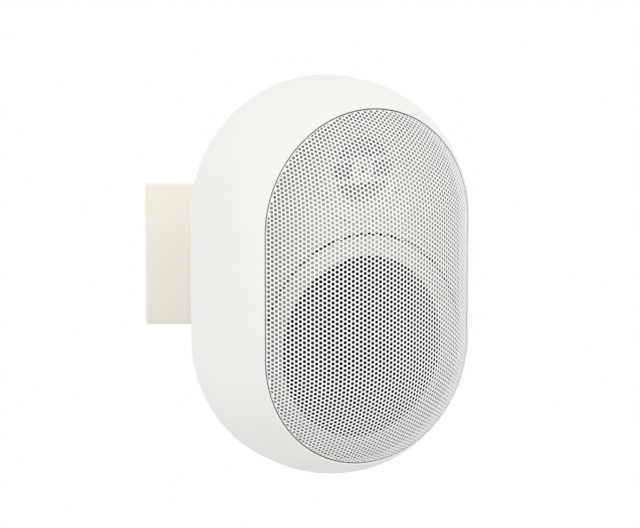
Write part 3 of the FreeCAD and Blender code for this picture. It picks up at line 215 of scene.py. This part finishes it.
class Nodes:
    """The nodes of a material or a world, with a short way to add and join them."""

    def __init__(self, owner, coordinates):
        owner.use_nodes = True
        self.owner = owner
        self.tree = owner.node_tree
        self.place = self.add("ShaderNodeTexCoord").outputs[coordinates]

    def add(self, kind, **inputs):
        return self.feed(self.tree.nodes.new(kind), **inputs)

    def feed(self, node, **inputs):
        """Give a node's inputs their numbers and colours, or join outputs of other nodes to them."""
        for key, value in inputs.items():
            self.put(value, node.inputs[key.replace("_", " ")])
        return node

    def put(self, value, target):
        if isinstance(value, bpy.types.NodeSocket):
            self.tree.links.new(value, target)
        else:
            target.default_value = value

    def noise(self, scale, detail=4.0, roughness=0.5, vector=None):
        node = self.add("ShaderNodeTexNoise", Vector=vector or self.place, Scale=scale, Detail=detail,
                        Roughness=roughness)
        return node.outputs["Fac"]

    def stretched(self, scale):
        return self.add("ShaderNodeMapping", Vector=self.place, Scale=scale).outputs["Vector"]

    def ramp(self, value, low, high):
        """A colour between two stops, each of which is a position and a colour."""
        node = self.add("ShaderNodeValToRGB", Fac=value)
        for element, (position, colour) in zip(node.color_ramp.elements, (low, high)):
            element.position = position
            element.color = (*colour, 1.0)
        return node.outputs["Color"]

    def span(self, value, low, high, start=0.0, end=1.0, smooth=False):
        """A number from low to high, while a value goes from start to end."""
        node = self.add("ShaderNodeMapRange", Value=value, From_Min=start, From_Max=end, To_Min=low,
                        To_Max=high)
        if smooth:
            node.interpolation_type = "SMOOTHSTEP"
        return node.outputs["Result"]

    def maths(self, operation, first, second=0.0):
        """A number worked out from one or two numbers."""
        node = self.add("ShaderNodeMath")
        node.operation = operation
        self.put(first, node.inputs[0])
        self.put(second, node.inputs[1])
        return node.outputs["Value"]

    def vector(self, operation, first, second=(0.0, 0.0, 0.0), output="Vector", **inputs):
        """A vector or a number worked out from one or two vectors."""
        node = self.add("ShaderNodeVectorMath")
        node.operation = operation
        self.put(first, node.inputs[0])
        self.put(second, node.inputs[1])
        return self.feed(node, **inputs).outputs[output]

    def bump(self, height, strength, distance):
        node = self.add("ShaderNodeBump", Height=height, Strength=strength, Distance=distance)
        return node.outputs["Normal"]

    def mix(self, share, first, second):
        """One shader over another."""
        node = self.add("ShaderNodeMixShader", Fac=share)
        self.put(first, node.inputs[1])
        self.put(second, node.inputs[2])
        return node.outputs["Shader"]


class Material(Nodes):
    """A material's nodes around its Principled shader, by places on the object."""

    def __init__(self, name):
        super().__init__(bpy.data.materials.new(name), "Object")
        self.shader = self.tree.nodes["Principled BSDF"]

    def shade(self, **inputs):
        """Give the shader its inputs, and return the material."""
        self.feed(self.shader, **inputs)
        return self.owner


def toned(colour, factor):
    return tuple(channel * factor for channel in colour)


def rim_distance(made):
    """How far a point lies from the middle line of the obround front."""
    offset = made.vector("SUBTRACT", made.place, SPEAKER.translation)
    across = made.vector("DOT_PRODUCT", offset, SPEAKER.col[0].xyz, output="Value")
    along = made.vector("DOT_PRODUCT", offset, SPEAKER.col[2].xyz, output="Value")
    beyond = made.maths("SUBTRACT", made.maths("ABSOLUTE", along), HALF_STRAIGHT)
    past = made.maths("MAXIMUM", beyond, 0.0)
    both = made.add("ShaderNodeCombineXYZ", X=across, Y=past)
    return made.vector("LENGTH", both.outputs["Vector"], output="Value")


def height(made):
    return made.add("ShaderNodeSeparateXYZ", Vector=made.place).outputs["Z"]


def moulded(name, colour, roughness, grain, depth, mottle=0.03, specular=0.4, fade=None):
    """Moulded plastic or paint: a fine grain, and a colour and gloss that vary slightly.

    A fade paints shade: it is a measure, where along it the colour starts and stops to darken, and the share
    left.
    """
    made = Material(name)
    cloud = made.noise(scale=14.0, detail=3.0)
    fine = made.noise(scale=1.0 / grain, detail=2.0)
    tint = made.ramp(cloud, (0.35, toned(colour, 1 - mottle)), (0.65, colour))
    if fade:
        measure, start, end, left = fade
        # Painted shade: the colour darkens along the fade's measure.
        tint = made.vector("SCALE", tint, Scale=made.span(measure(made), 1.0, left, start, end))
    return made.shade(
        Base_Color=tint, Roughness=made.span(cloud, roughness * 0.88, roughness * 1.12),
        Normal=made.bump(fine, strength=0.35, distance=depth), Specular_IOR_Level=specular)


def metal(name, colour, roughness):
    """Plated or turned metal with fine drawn lines."""
    made = Material(name)
    lines = made.noise(scale=2500.0, detail=3.0, vector=made.stretched((1.0, 1.0, 12.0)))
    return made.shade(
        Base_Color=made.ramp(lines, (0.3, toned(colour, 0.82)), (0.7, colour)), Metallic=1.0,
        Roughness=made.span(lines, roughness * 0.75, roughness * 1.25),
        Normal=made.bump(lines, strength=0.25, distance=0.00004))


def fibrous(name, colour, roughness, grain, depth):
    """Pulp, cloth or felt: crossed fibres in tone and relief."""
    made = Material(name)
    one = made.noise(scale=1.0 / grain, vector=made.stretched((1.0, 1.0, 5.0)))
    other = made.noise(scale=1.0 / grain, vector=made.stretched((5.0, 5.0, 1.0)))
    both = made.span(made.maths("ADD", one, other), 0.0, 0.5)
    return made.shade(
        Base_Color=made.ramp(both, (0.35, toned(colour, 0.6)), (0.65, toned(colour, 1.3))),
        Normal=made.bump(both, strength=0.5, distance=depth), Roughness=roughness, Specular_IOR_Level=0.2)


def wound(name, colour, wire, axis):
    """Enamelled wire laid turn by turn along an axis of the row frame."""
    made = Material(name)
    along = made.vector("DOT_PRODUCT", made.place, axis, output="Value")
    wave = made.maths("SINE", made.maths("MULTIPLY", along, 2 * math.pi / wire))
    relief = made.span(wave, 0.0, 1.0, start=-1.0)
    return made.shade(
        Base_Color=made.ramp(relief, (0.0, toned(colour, 0.35)), (0.6, colour)), Metallic=1.0, Roughness=0.3,
        Normal=made.bump(relief, strength=0.8, distance=wire / 3))


def speckled(name, colour, fleck, roughness, grain):
    """Sintered or ceramic: a dull ground with flecks."""
    made = Material(name)
    spots = made.noise(scale=1.0 / grain, detail=6.0, roughness=0.7)
    return made.shade(
        Base_Color=made.ramp(spots, (0.45, colour), (0.62, fleck)), Roughness=roughness,
        Normal=made.bump(spots, strength=0.3, distance=grain / 8))


cover_low, cover_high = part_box("bracket_cover")
# Painted shade: the front's colour darkens towards its rim behind the grille.
PAINTED_RIM_SHADE = (rim_distance, RIM_SHADE_START, RIM_SHADE_END, RIM_SHADE_LEFT)
# Painted shade: the wall cover's colour darkens towards its foot.
PAINTED_FOOT_SHADE = (height, cover_low.z + FOOT_SHADE_START * (cover_high.z - cover_low.z), cover_low.z, FOOT_SHADE_LEFT)

# How each slot of the record looks, by the kind of its material.
LOOKS = {
    moulded: {
        "cabinet_white": dict(colour=(0.858, 0.872, 0.842), roughness=0.42, grain=0.0007, depth=0.00003),
        "grille_white": dict(colour=(0.94, 0.94, 0.93), roughness=0.40, grain=0.0005, depth=0.00002,
                             mottle=0.015),
        # The front's colour darkens towards its rim: painted shade.
        "front_white": dict(colour=(0.74, 0.73, 0.69), roughness=0.55, grain=0.0006, depth=0.00004,
                            fade=PAINTED_RIM_SHADE),
        # The cover's colour darkens towards its foot: painted shade.
        "bracket_cream": dict(colour=(0.975, 0.948, 0.845), roughness=0.50, grain=0.0008, depth=0.00005,
                              fade=PAINTED_FOOT_SHADE),
        "bracket_metal": dict(colour=(0.80, 0.79, 0.76), roughness=0.40, grain=0.0005, depth=0.00003),
        "basket_black": dict(colour=(0.022, 0.022, 0.023), roughness=0.45, grain=0.0005, depth=0.00004,
                             mottle=0.3),
        "rubber_black": dict(colour=(0.009, 0.009, 0.010), roughness=0.70, grain=0.0004, depth=0.00003,
                             mottle=0.25, specular=0.2),
        "panel_black": dict(colour=(0.020, 0.020, 0.021), roughness=0.50, grain=0.0005, depth=0.00005,
                            mottle=0.2),
        "lever_red": dict(colour=(0.55, 0.020, 0.022), roughness=0.30, grain=0.0009, depth=0.00003,
                          mottle=0.12),
        "lever_black": dict(colour=(0.016, 0.016, 0.017), roughness=0.28, grain=0.0009, depth=0.00003,
                            mottle=0.2),
        "nylon": dict(colour=(0.74, 0.73, 0.68), roughness=0.55, grain=0.0005, depth=0.00003),
        "board_green": dict(colour=(0.020, 0.13, 0.055), roughness=0.35, grain=0.0014, depth=0.00006,
                            mottle=0.35),
        "capacitor_yellow": dict(colour=(0.62, 0.40, 0.05), roughness=0.25, grain=0.0010, depth=0.00003,
                                 mottle=0.1),
    },
    metal: {
        "steel": dict(colour=(0.60, 0.60, 0.61), roughness=0.32),
        "tag_brass": dict(colour=(0.72, 0.55, 0.28), roughness=0.35),
    },
    fibrous: {
        "cone_black": dict(colour=(0.009, 0.009, 0.010), roughness=0.85, grain=0.0006, depth=0.00012),
        "dome_silk": dict(colour=(0.50, 0.50, 0.51), roughness=0.55, grain=0.0003, depth=0.00003),
        "spider_cloth": dict(colour=(0.42, 0.26, 0.09), roughness=0.80, grain=0.0005, depth=0.00008),
    },
    wound: {
        "copper": dict(colour=(0.72, 0.34, 0.16), wire=0.0005, axis=SPEAKER.col[1].xyz),
    },
    speckled: {
        "magnet_dark": dict(colour=(0.035, 0.035, 0.037), fleck=(0.09, 0.09, 0.095), roughness=0.6,
                            grain=0.0008),
        "resistor_ceramic": dict(colour=(0.70, 0.68, 0.62), fleck=(0.55, 0.53, 0.47), roughness=0.7,
                                 grain=0.0012),
    },
}
FINISHES = {name: kind(name, **look) for kind, slots in LOOKS.items() for name, look in slots.items()}


def dress_cad_nodes():
    """Give every CAD node the finish that its record's slot names."""
    for part in frame["record"]["subparts"]:
        mesh = nodes[part["node"]].data
        mesh.materials.clear()
        mesh.materials.append(FINISHES[part["material_slot"]])


# Pieces


def new_mesh(name, points, faces):
    mesh = bpy.data.meshes.new(name)
    mesh.from_pydata(np.asarray(points).tolist(), [], faces)
    mesh.update(calc_edges=True)
    return mesh


def smooth(mesh):
    mesh.shade_smooth()
    mesh.set_sharp_from_angle(angle=SHARP_ANGLE)


def new_piece(mesh, finish):
    """A piece named as its mesh, which was made in the speaker's own frame, with its finish."""
    mesh.transform(SPEAKER)
    mesh.materials.append(FINISHES[finish])
    piece = bpy.data.objects.new(mesh.name, mesh)
    bpy.context.scene.collection.objects.link(piece)
    return piece


def rim_walk(reach, half_straight=HALF_STRAIGHT):
    """Points round an obround at some reach: each has its place on the middle line and its direction."""
    straight = math.ceil(2 * half_straight / EDGE_STEP)
    bend = math.ceil(math.pi * reach / EDGE_STEP)
    walk = []
    for side in (1, -1):
        for step in range(straight):
            walk.append((side * (-half_straight + 2 * half_straight * step / straight), side, 0.0))
        for step in range(bend):
            turn = math.pi * step / bend
            walk.append((side * half_straight, side * math.cos(turn), side * math.sin(turn)))
    return np.array(walk)


def ring_points(walk, radius, depth):
    depths = np.full(len(walk), depth)
    return np.stack((walk[:, 1] * radius, depths, walk[:, 0] + walk[:, 2] * radius), axis=-1)


def ring_faces(near, far):
    """The band of faces between two rings of as many points."""
    near_next, far_next = np.roll(near, -1), np.roll(far, -1)
    return np.stack((near_next, near, far, far_next), axis=-1).tolist()


def borders_of(loops):
    """The sides of closed loops, whose points follow each other in one list."""
    borders, first = [], 0
    for loop in loops:
        borders += [(first + i, first + (i + 1) % len(loop)) for i in range(len(loop))]
        first += len(loop)
    return borders


def triangles(flat, borders):
    """Triangles between the points of a flat pattern, none of which crosses a border."""
    places = [Vector(point) for point in flat * MILLIMETRES]
    _, _, faces, origins, *_ = delaunay_2d_cdt(places, borders, [], 0, SAME_POINT)
    return np.array([[origins[index][0] for index in face] for face in faces])


def plate_faces(web, walls, count):
    """The front, the back and some walls of a plate, whose back's points follow as many of its front."""
    faces = [(a, b, c) for a, b, c in web]
    faces += [(count + a, count + c, count + b) for a, b, c in web]
    faces += [(a, b, count + b, count + a) for a, b in walls]
    return faces


def on_dome(across, along):
    """The middle and outward direction on the dome for distances on its flat sheet, as arrays."""
    past = np.maximum(np.abs(along) - HALF_STRAIGHT, 0.0)
    distance = np.hypot(across, past)
    safe = np.where(distance > 0, distance, 1.0)
    angle = distance / DOME_RADIUS
    upward = np.sign(along)
    outward = np.stack((
        np.sin(angle) * across / safe, -np.cos(angle), np.sin(angle) * past / safe * upward), axis=-1)
    middle = np.zeros_like(outward)
    middle[..., 1] = DOME_RADIUS
    middle[..., 2] = upward * np.minimum(np.abs(along), HALF_STRAIGHT)
    return middle, outward


def hole_corners(reach):
    """The corners of each hole, in staggered columns up to the rim, which cuts the last ones short."""
    limit = reach - HOLE_MARGIN
    columns = int(limit / COLUMN_PITCH) + 1
    rows = int((limit + HALF_STRAIGHT) / HOLE_PITCH) + 1
    centres = []
    for column in range(-columns, columns + 1):
        shift = HOLE_PITCH / 2 if column % 2 else 0.0
        for row in range(-rows, rows + 1):
            across, along = (column + 0.5) * COLUMN_PITCH, row * HOLE_PITCH + shift
            if math.hypot(across, max(abs(along) - HALF_STRAIGHT, 0.0)) <= limit + FURTHEST_PAST:
                centres.append((across, along))
    turns = (np.arange(HOLE_SIDES) + 0.5) * 2 * math.pi / HOLE_SIDES
    # Corners stand out so that a hole has the area of a round one.
    corner = HOLE_RADIUS * math.sqrt(math.pi / (HOLE_SIDES / 2 * math.sin(2 * math.pi / HOLE_SIDES)))
    ring = np.stack((np.cos(turns), np.sin(turns)), axis=-1) * corner
    corners = np.array(centres)[:, None, :] + ring[None, :, :]
    straight = np.clip(corners[..., 1], -HALF_STRAIGHT, HALF_STRAIGHT)
    past = corners[..., 1] - straight
    short = np.minimum(1.0, limit / np.hypot(corners[..., 0], past))
    return np.stack((corners[..., 0] * short, straight + past * short), axis=-1)


def fold_section():
    """How far the sheet reaches on the dome, and the section of its fold and skirt, as radius and depth."""
    middle = GRILLE_HALF_WIDTH - FOLD_RADIUS
    depth = DOME_RADIUS - math.sqrt((DOME_RADIUS - FOLD_RADIUS) ** 2 - middle ** 2)
    first = math.asin(middle / (DOME_RADIUS - FOLD_RADIUS))
    angles = [first + (math.pi / 2 - first) * step / FOLD_STEPS for step in range(1, FOLD_STEPS + 1)]
    inner = FOLD_RADIUS - GRILLE_SHEET
    section = [(middle + FOLD_RADIUS * math.sin(angle), depth - FOLD_RADIUS * math.cos(angle))
               for angle in angles]
    section += [(GRILLE_HALF_WIDTH, FRONT_DEPTH), (GRILLE_HALF_WIDTH - GRILLE_SHEET, FRONT_DEPTH)]
    section += [(middle + inner * math.sin(angle), depth - inner * math.cos(angle))
                for angle in reversed(angles)]
    return DOME_RADIUS * first, section


def sharpen_lines(mesh, line):
    """Keep an edge sharp where both its points lie on the same numbered line. Points on none have -1."""
    ends = np.zeros(len(mesh.edges) * 2, dtype=np.int32)
    mesh.edges.foreach_get("vertices", ends)
    first, last = line[ends[0::2]], line[ends[1::2]]
    attribute = mesh.attributes.new("sharp_edge", "BOOLEAN", "EDGE")
    attribute.data.foreach_set("value", (first >= 0) & (first == last))


def perforated_grille():
    """A closed sheet with every hole cut through it, folded back along its edge into a skirt."""
    reach, section = fold_section()
    walk = rim_walk(reach)
    holes = hole_corners(reach)
    # The flat pattern: first the rim, then the corners of each hole. A triangle within one hole is left out.
    rim = np.stack((walk[:, 1] * reach, walk[:, 0] + walk[:, 2] * reach), axis=-1)
    flat = np.concatenate((rim, holes.reshape(-1, 2)))
    owner = np.concatenate((np.full(len(rim), -1), np.repeat(np.arange(len(holes)), HOLE_SIDES)))
    borders = borders_of([rim, *holes])
    web = triangles(flat, borders)
    owners = owner[web]
    web = web[(owners[:, 0] < 0) | (owners.min(axis=1) < owners.max(axis=1))].tolist()
    # Front and back of the sheet with the walls of its holes, then rings from the front's rim to the back's.
    count = len(flat)
    middle, outward = on_dome(flat[:, 0], flat[:, 1])
    points = [middle + outward * DOME_RADIUS, middle + outward * (DOME_RADIUS - GRILLE_SHEET)]
    faces = plate_faces(web, borders[len(rim):], count)
    points += [ring_points(walk, radius, depth) for radius, depth in section]
    folded = np.arange(2 * count, 2 * count + len(section) * len(walk)).reshape(len(section), -1)
    rings = [np.arange(len(rim)), *folded, np.arange(count, count + len(rim))]
    for near, far in zip(rings, rings[1:]):
        faces += ring_faces(near, far)
    mesh = new_mesh("grille_perforated", np.concatenate(points), faces)
    mesh.shade_smooth()
    # The edges of the holes and the two along the foot of the skirt stay sharp.
    behind = np.where(owner < 0, -1, owner + len(holes))
    line = np.concatenate((owner, behind, np.full(folded.size, -1)))
    line[folded[FOLD_STEPS]] = 2 * len(holes)
    line[folded[FOLD_STEPS + 1]] = 2 * len(holes) + 1
    sharpen_lines(mesh, line)
    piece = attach(new_piece(mesh, "grille_white"), "speaker")
    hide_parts("grille")


def foam_strip(name, sizes, half_straight, drop):
    """A closed strip of foam round an obround or a circle, between two radii and two depths."""
    inner, outer, front, back = sizes
    walk = rim_walk(outer, half_straight)
    section = ((inner, front), (outer, front), (outer, back), (inner, back))
    points = np.concatenate([ring_points(walk, radius, depth) for radius, depth in section])
    points[:, 2] -= drop
    rings = np.arange(len(points)).reshape(len(section), -1)
    faces = []
    for near, far in zip(rings, np.roll(rings, -1, axis=0)):
        faces += ring_faces(near, far)
    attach(new_piece(new_mesh(name, points, faces), "rubber_black"), "speaker")


def surround_section():
    """The front and back of the surround's section from its outer to its inner edge, as radius and depth."""
    turn = np.linspace(0, math.pi, ROLL_STEPS + 1)
    middle = (ROLL_OUTER + ROLL_INNER) / 2
    roll = (ROLL_OUTER - ROLL_INNER) / 2
    sides = []
    for radius, depth in ((roll, SURROUND_DEPTH - RUBBER), (roll - RUBBER, SURROUND_DEPTH)):
        half_roll = np.stack((middle + radius * np.cos(turn), depth - radius * np.sin(turn)), axis=-1)
        sides.append(np.concatenate(([(SURROUND_OUTER, depth)], half_roll, [(SURROUND_INNER, depth)])))
    return sides


def round_woofer(radius, depth, angle):
    """Points at radii and depths round the woofer's middle, as arrays, at one angle."""
    radius, depth = np.asarray(radius), np.asarray(depth)
    return np.stack((radius * math.cos(angle), depth, radius * math.sin(angle) - HALF_STRAIGHT), axis=-1)


def woofer_surround():
    """A half roll of rubber in sectors, each of which reaches from the basket's flange to the cone."""
    front, back = surround_section()
    side = len(front)
    loop = np.concatenate((front, back[::-1]))
    caps = [(i, i + 1, 2 * side - 2 - i, 2 * side - 1 - i) for i in range(side - 1)]
    for sector in range(SURROUND_SECTORS):
        angles = (sector + np.linspace(0, 1, SECTOR_STEPS + 1)) * 2 * math.pi / SURROUND_SECTORS
        points = np.concatenate([round_woofer(loop[:, 0], loop[:, 1], angle) for angle in angles])
        rings = np.arange(len(points)).reshape(len(angles), -1)
        faces = [face for near, far in zip(rings, rings[1:]) for face in ring_faces(near, far)]
        faces += [rings[0][list(cap)].tolist() for cap in caps]
        faces += [rings[-1][list(reversed(cap))].tolist() for cap in caps]
        mesh = new_mesh(f"woofer_surround_{sector + 1}", points, faces)
        smooth(mesh)
        piece = new_piece(mesh, "rubber_black")
        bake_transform(piece)
        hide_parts("woofer_surround")


def arc(radius, start, end):
    """Points along an arc of the guard, as places across and up."""
    turn = np.linspace(start, end, math.ceil(abs(end - start) / ARC_STEP) + 1)
    return np.stack((radius * np.cos(turn), radius * np.sin(turn)), axis=-1)


def guard_outlines():
    """The guard's edge, its small hole and its four openings, each with the guard on its right as it runs."""
    edge = arc(GUARD_RADIUS, 0, -2 * math.pi)[:-1]
    hole = arc(GUARD_HOLE, 0, 2 * math.pi)[:-1]
    near = math.asin(BAR_INNER / GUARD_DISC)
    far = math.asin(BAR_INNER / GUARD_OPENING)
    beside = np.concatenate((arc(GUARD_OPENING, -far, far), arc(GUARD_DISC, near, -near)))
    chord = math.asin(GUARD_DISC / GUARD_OPENING)
    above = arc(GUARD_OPENING, chord, math.pi - chord)
    return [edge, hole, beside, -beside, above, -above]


def in_guard(point):
    radius = math.hypot(*point)
    in_bar = BAR_INNER < abs(point[1]) < GUARD_DISC
    return GUARD_HOLE < radius and (radius < GUARD_DISC or in_bar or radius > GUARD_OPENING)


def tweeter_guard():
    """A flat plate with its openings cut through it."""
    outlines = guard_outlines()
    flat = np.concatenate(outlines)
    count = len(flat)
    borders = borders_of(outlines)
    web = [face for face in triangles(flat, borders).tolist() if in_guard(flat[face].mean(axis=0))]
    points = np.zeros((2 * count, 3))
    points[:, 0::2] = np.tile(flat, (2, 1)) + (0, TWEETER_HEIGHT)
    points[:, 1] = np.repeat((FRONT_DEPTH, FRONT_DEPTH + GUARD_THICKNESS), count)
    mesh = new_mesh("tweeter_guard_bars", points, plate_faces(web, borders, count))
    smooth(mesh)
    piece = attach(new_piece(mesh, "front_white"), "speaker")
    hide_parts("tweeter_guard")


def screw_plugs():
    """A bevelled plug in the mouth of each recess, flush with the front."""
    section = ((PLUG_RADIUS - PLUG_BEVEL, FRONT_DEPTH), (PLUG_RADIUS, FRONT_DEPTH + PLUG_BEVEL),
               (PLUG_RADIUS, FRONT_DEPTH + PLUG_LENGTH))
    places = [(side * SCREW_RING * math.cos(angle), HALF_STRAIGHT + SCREW_RING * math.sin(angle))
              for angle in SCREW_ANGLES for side in (1, -1)]
    places += [(side * SCREW_RING, SIDE_SCREW_HEIGHT) for side in (1, -1)]
    turns = np.arange(PLUG_SIDES) * 2 * math.pi / PLUG_SIDES
    points, faces = [], []
    for across, up in places:
        rings = []
        for radius, depth in section:
            rings.append(np.arange(len(points), len(points) + PLUG_SIDES))
            points += [(across + radius * math.cos(turn), depth, up + radius * math.sin(turn))
                       for turn in turns]
        for near, far in zip(rings, rings[1:]):
            faces += ring_faces(near, far)
        faces += [rings[0].tolist(), rings[-1][::-1].tolist()]
    mesh = new_mesh("screw_plugs", points, faces)
    smooth(mesh)
    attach(new_piece(mesh, "front_white"), "speaker")


# Stage, light and camera


def floor():
    """A pale floor well below the loudspeaker, which hangs on a wall."""
    corners = [(x * FLOOR_HALF_SIDE, y * FLOOR_HALF_SIDE, cad_low.z - FLOOR_DROP)
               for x, y in ((-1, -1), (1, -1), (1, 1), (-1, 1))]
    mesh = new_mesh("floor", corners, [(0, 1, 2, 3)])
    piece = bpy.data.objects.new("floor", mesh)
    bpy.context.scene.collection.objects.link(piece)
    made = Material("floor_paint")
    seen = made.add("ShaderNodeLightPath").outputs["Is Camera Ray"]
    paint = made.add("ShaderNodeMix")
    paint.data_type = "RGBA"
    tone = made.ramp(made.noise(scale=3.0), (0.3, FLOOR_DARK), (0.7, FLOOR_LIGHT))
    made.feed(paint, Factor=seen, A=FLOOR_BOUNCE, B=tone)
    made.shade(Base_Color=paint.outputs["Result"], Roughness=0.9)
    # Towards its edge the floor turns into the white ground, for the camera alone.
    radius = made.vector("LENGTH", made.stretched((1.0, 1.0, 0.0)), output="Value")
    fade = made.span(radius, 0.0, 1.0, FLOOR_FADE_START * FLOOR_HALF_SIDE, FLOOR_FADE_END * FLOOR_HALF_SIDE,
                     smooth=True)
    white = made.add("ShaderNodeEmission", Color=WHITE, Strength=1.0)
    share = made.maths("MULTIPLY", fade, seen)
    ground = made.mix(share, made.shader.outputs["BSDF"], white.outputs["Emission"])
    # From below it is clear, so that it never hides the loudspeaker.
    below = made.add("ShaderNodeNewGeometry").outputs["Backfacing"]
    clear = made.add("ShaderNodeBsdfTransparent").outputs["BSDF"]
    made.feed(made.tree.nodes["Material Output"], Surface=made.mix(below, ground, clear))
    mesh.materials.append(made.owner)


def world():
    """Soft light from all round, on a white ground for the camera and for reflections."""
    made = Nodes(bpy.data.worlds.new("studio"), "Generated")
    bpy.context.scene.world = made.owner
    tone = made.span(height(made), LIGHT_BELOW, LIGHT_ABOVE, CHANGE_START, CHANGE_END, smooth=True)
    light = made.feed(made.tree.nodes["Background"], Color=tone, Strength=1.0)
    white = made.add("ShaderNodeBackground", Color=WHITE, Strength=1.0)
    path = made.add("ShaderNodeLightPath")
    seen = path.outputs["Is Camera Ray"]
    for kind in ("Is Glossy Ray", "Is Transmission Ray"):
        seen = made.maths("MAXIMUM", seen, path.outputs[kind])
    both = made.mix(seen, light.outputs["Background"], white.outputs["Background"])
    made.feed(made.tree.nodes["World Output"], Surface=both)


def lamp(name, place, size, power):
    data = bpy.data.lights.new(name, "AREA")
    data.shape = "DISK"
    data.size = size
    data.energy = power
    made = bpy.data.objects.new(name, data)
    bpy.context.scene.collection.objects.link(made)
    made.location = place
    made.rotation_euler = (Vector(LAMP_TARGET) - Vector(place)).to_track_quat("-Z", "Y").to_euler()


def camera():
    """At the photograph's angle, placed from the front of the dome."""
    rise, level = math.sin(CAMERA_ELEVATION), math.cos(CAMERA_ELEVATION)
    right = Vector((1, 0, 0))
    up = Vector((0, rise, level))
    back = Vector((0, -level, rise))
    data = bpy.data.cameras.new("camera")
    data.sensor_width = SENSOR_WIDTH
    data.lens = FOCAL_PIXELS * SENSOR_WIDTH / IMAGE_WIDTH
    made = bpy.data.objects.new("camera", data)
    bpy.context.scene.collection.objects.link(made)
    made.location = SPEAKER.translation - right * CAMERA_LEFT + up * CAMERA_RISE + back * CAMERA_DISTANCE
    made.rotation_euler = Matrix((right, up, back)).transposed().to_euler()
    bpy.context.scene.camera = made


dress_cad_nodes()
perforated_grille()
tweeter_guard()
screw_plugs()
woofer_surround()
foam_strip("grille_seal", GRILLE_SEAL, HALF_STRAIGHT, 0.0)
foam_strip("woofer_seal", WOOFER_SEAL, 0.0, HALF_STRAIGHT)
floor()
world()
lamp("key", *KEY_LAMP)
lamp("fill", *FILL_LAMP)
camera()
bpy.context.scene.view_settings.view_transform = "Standard"
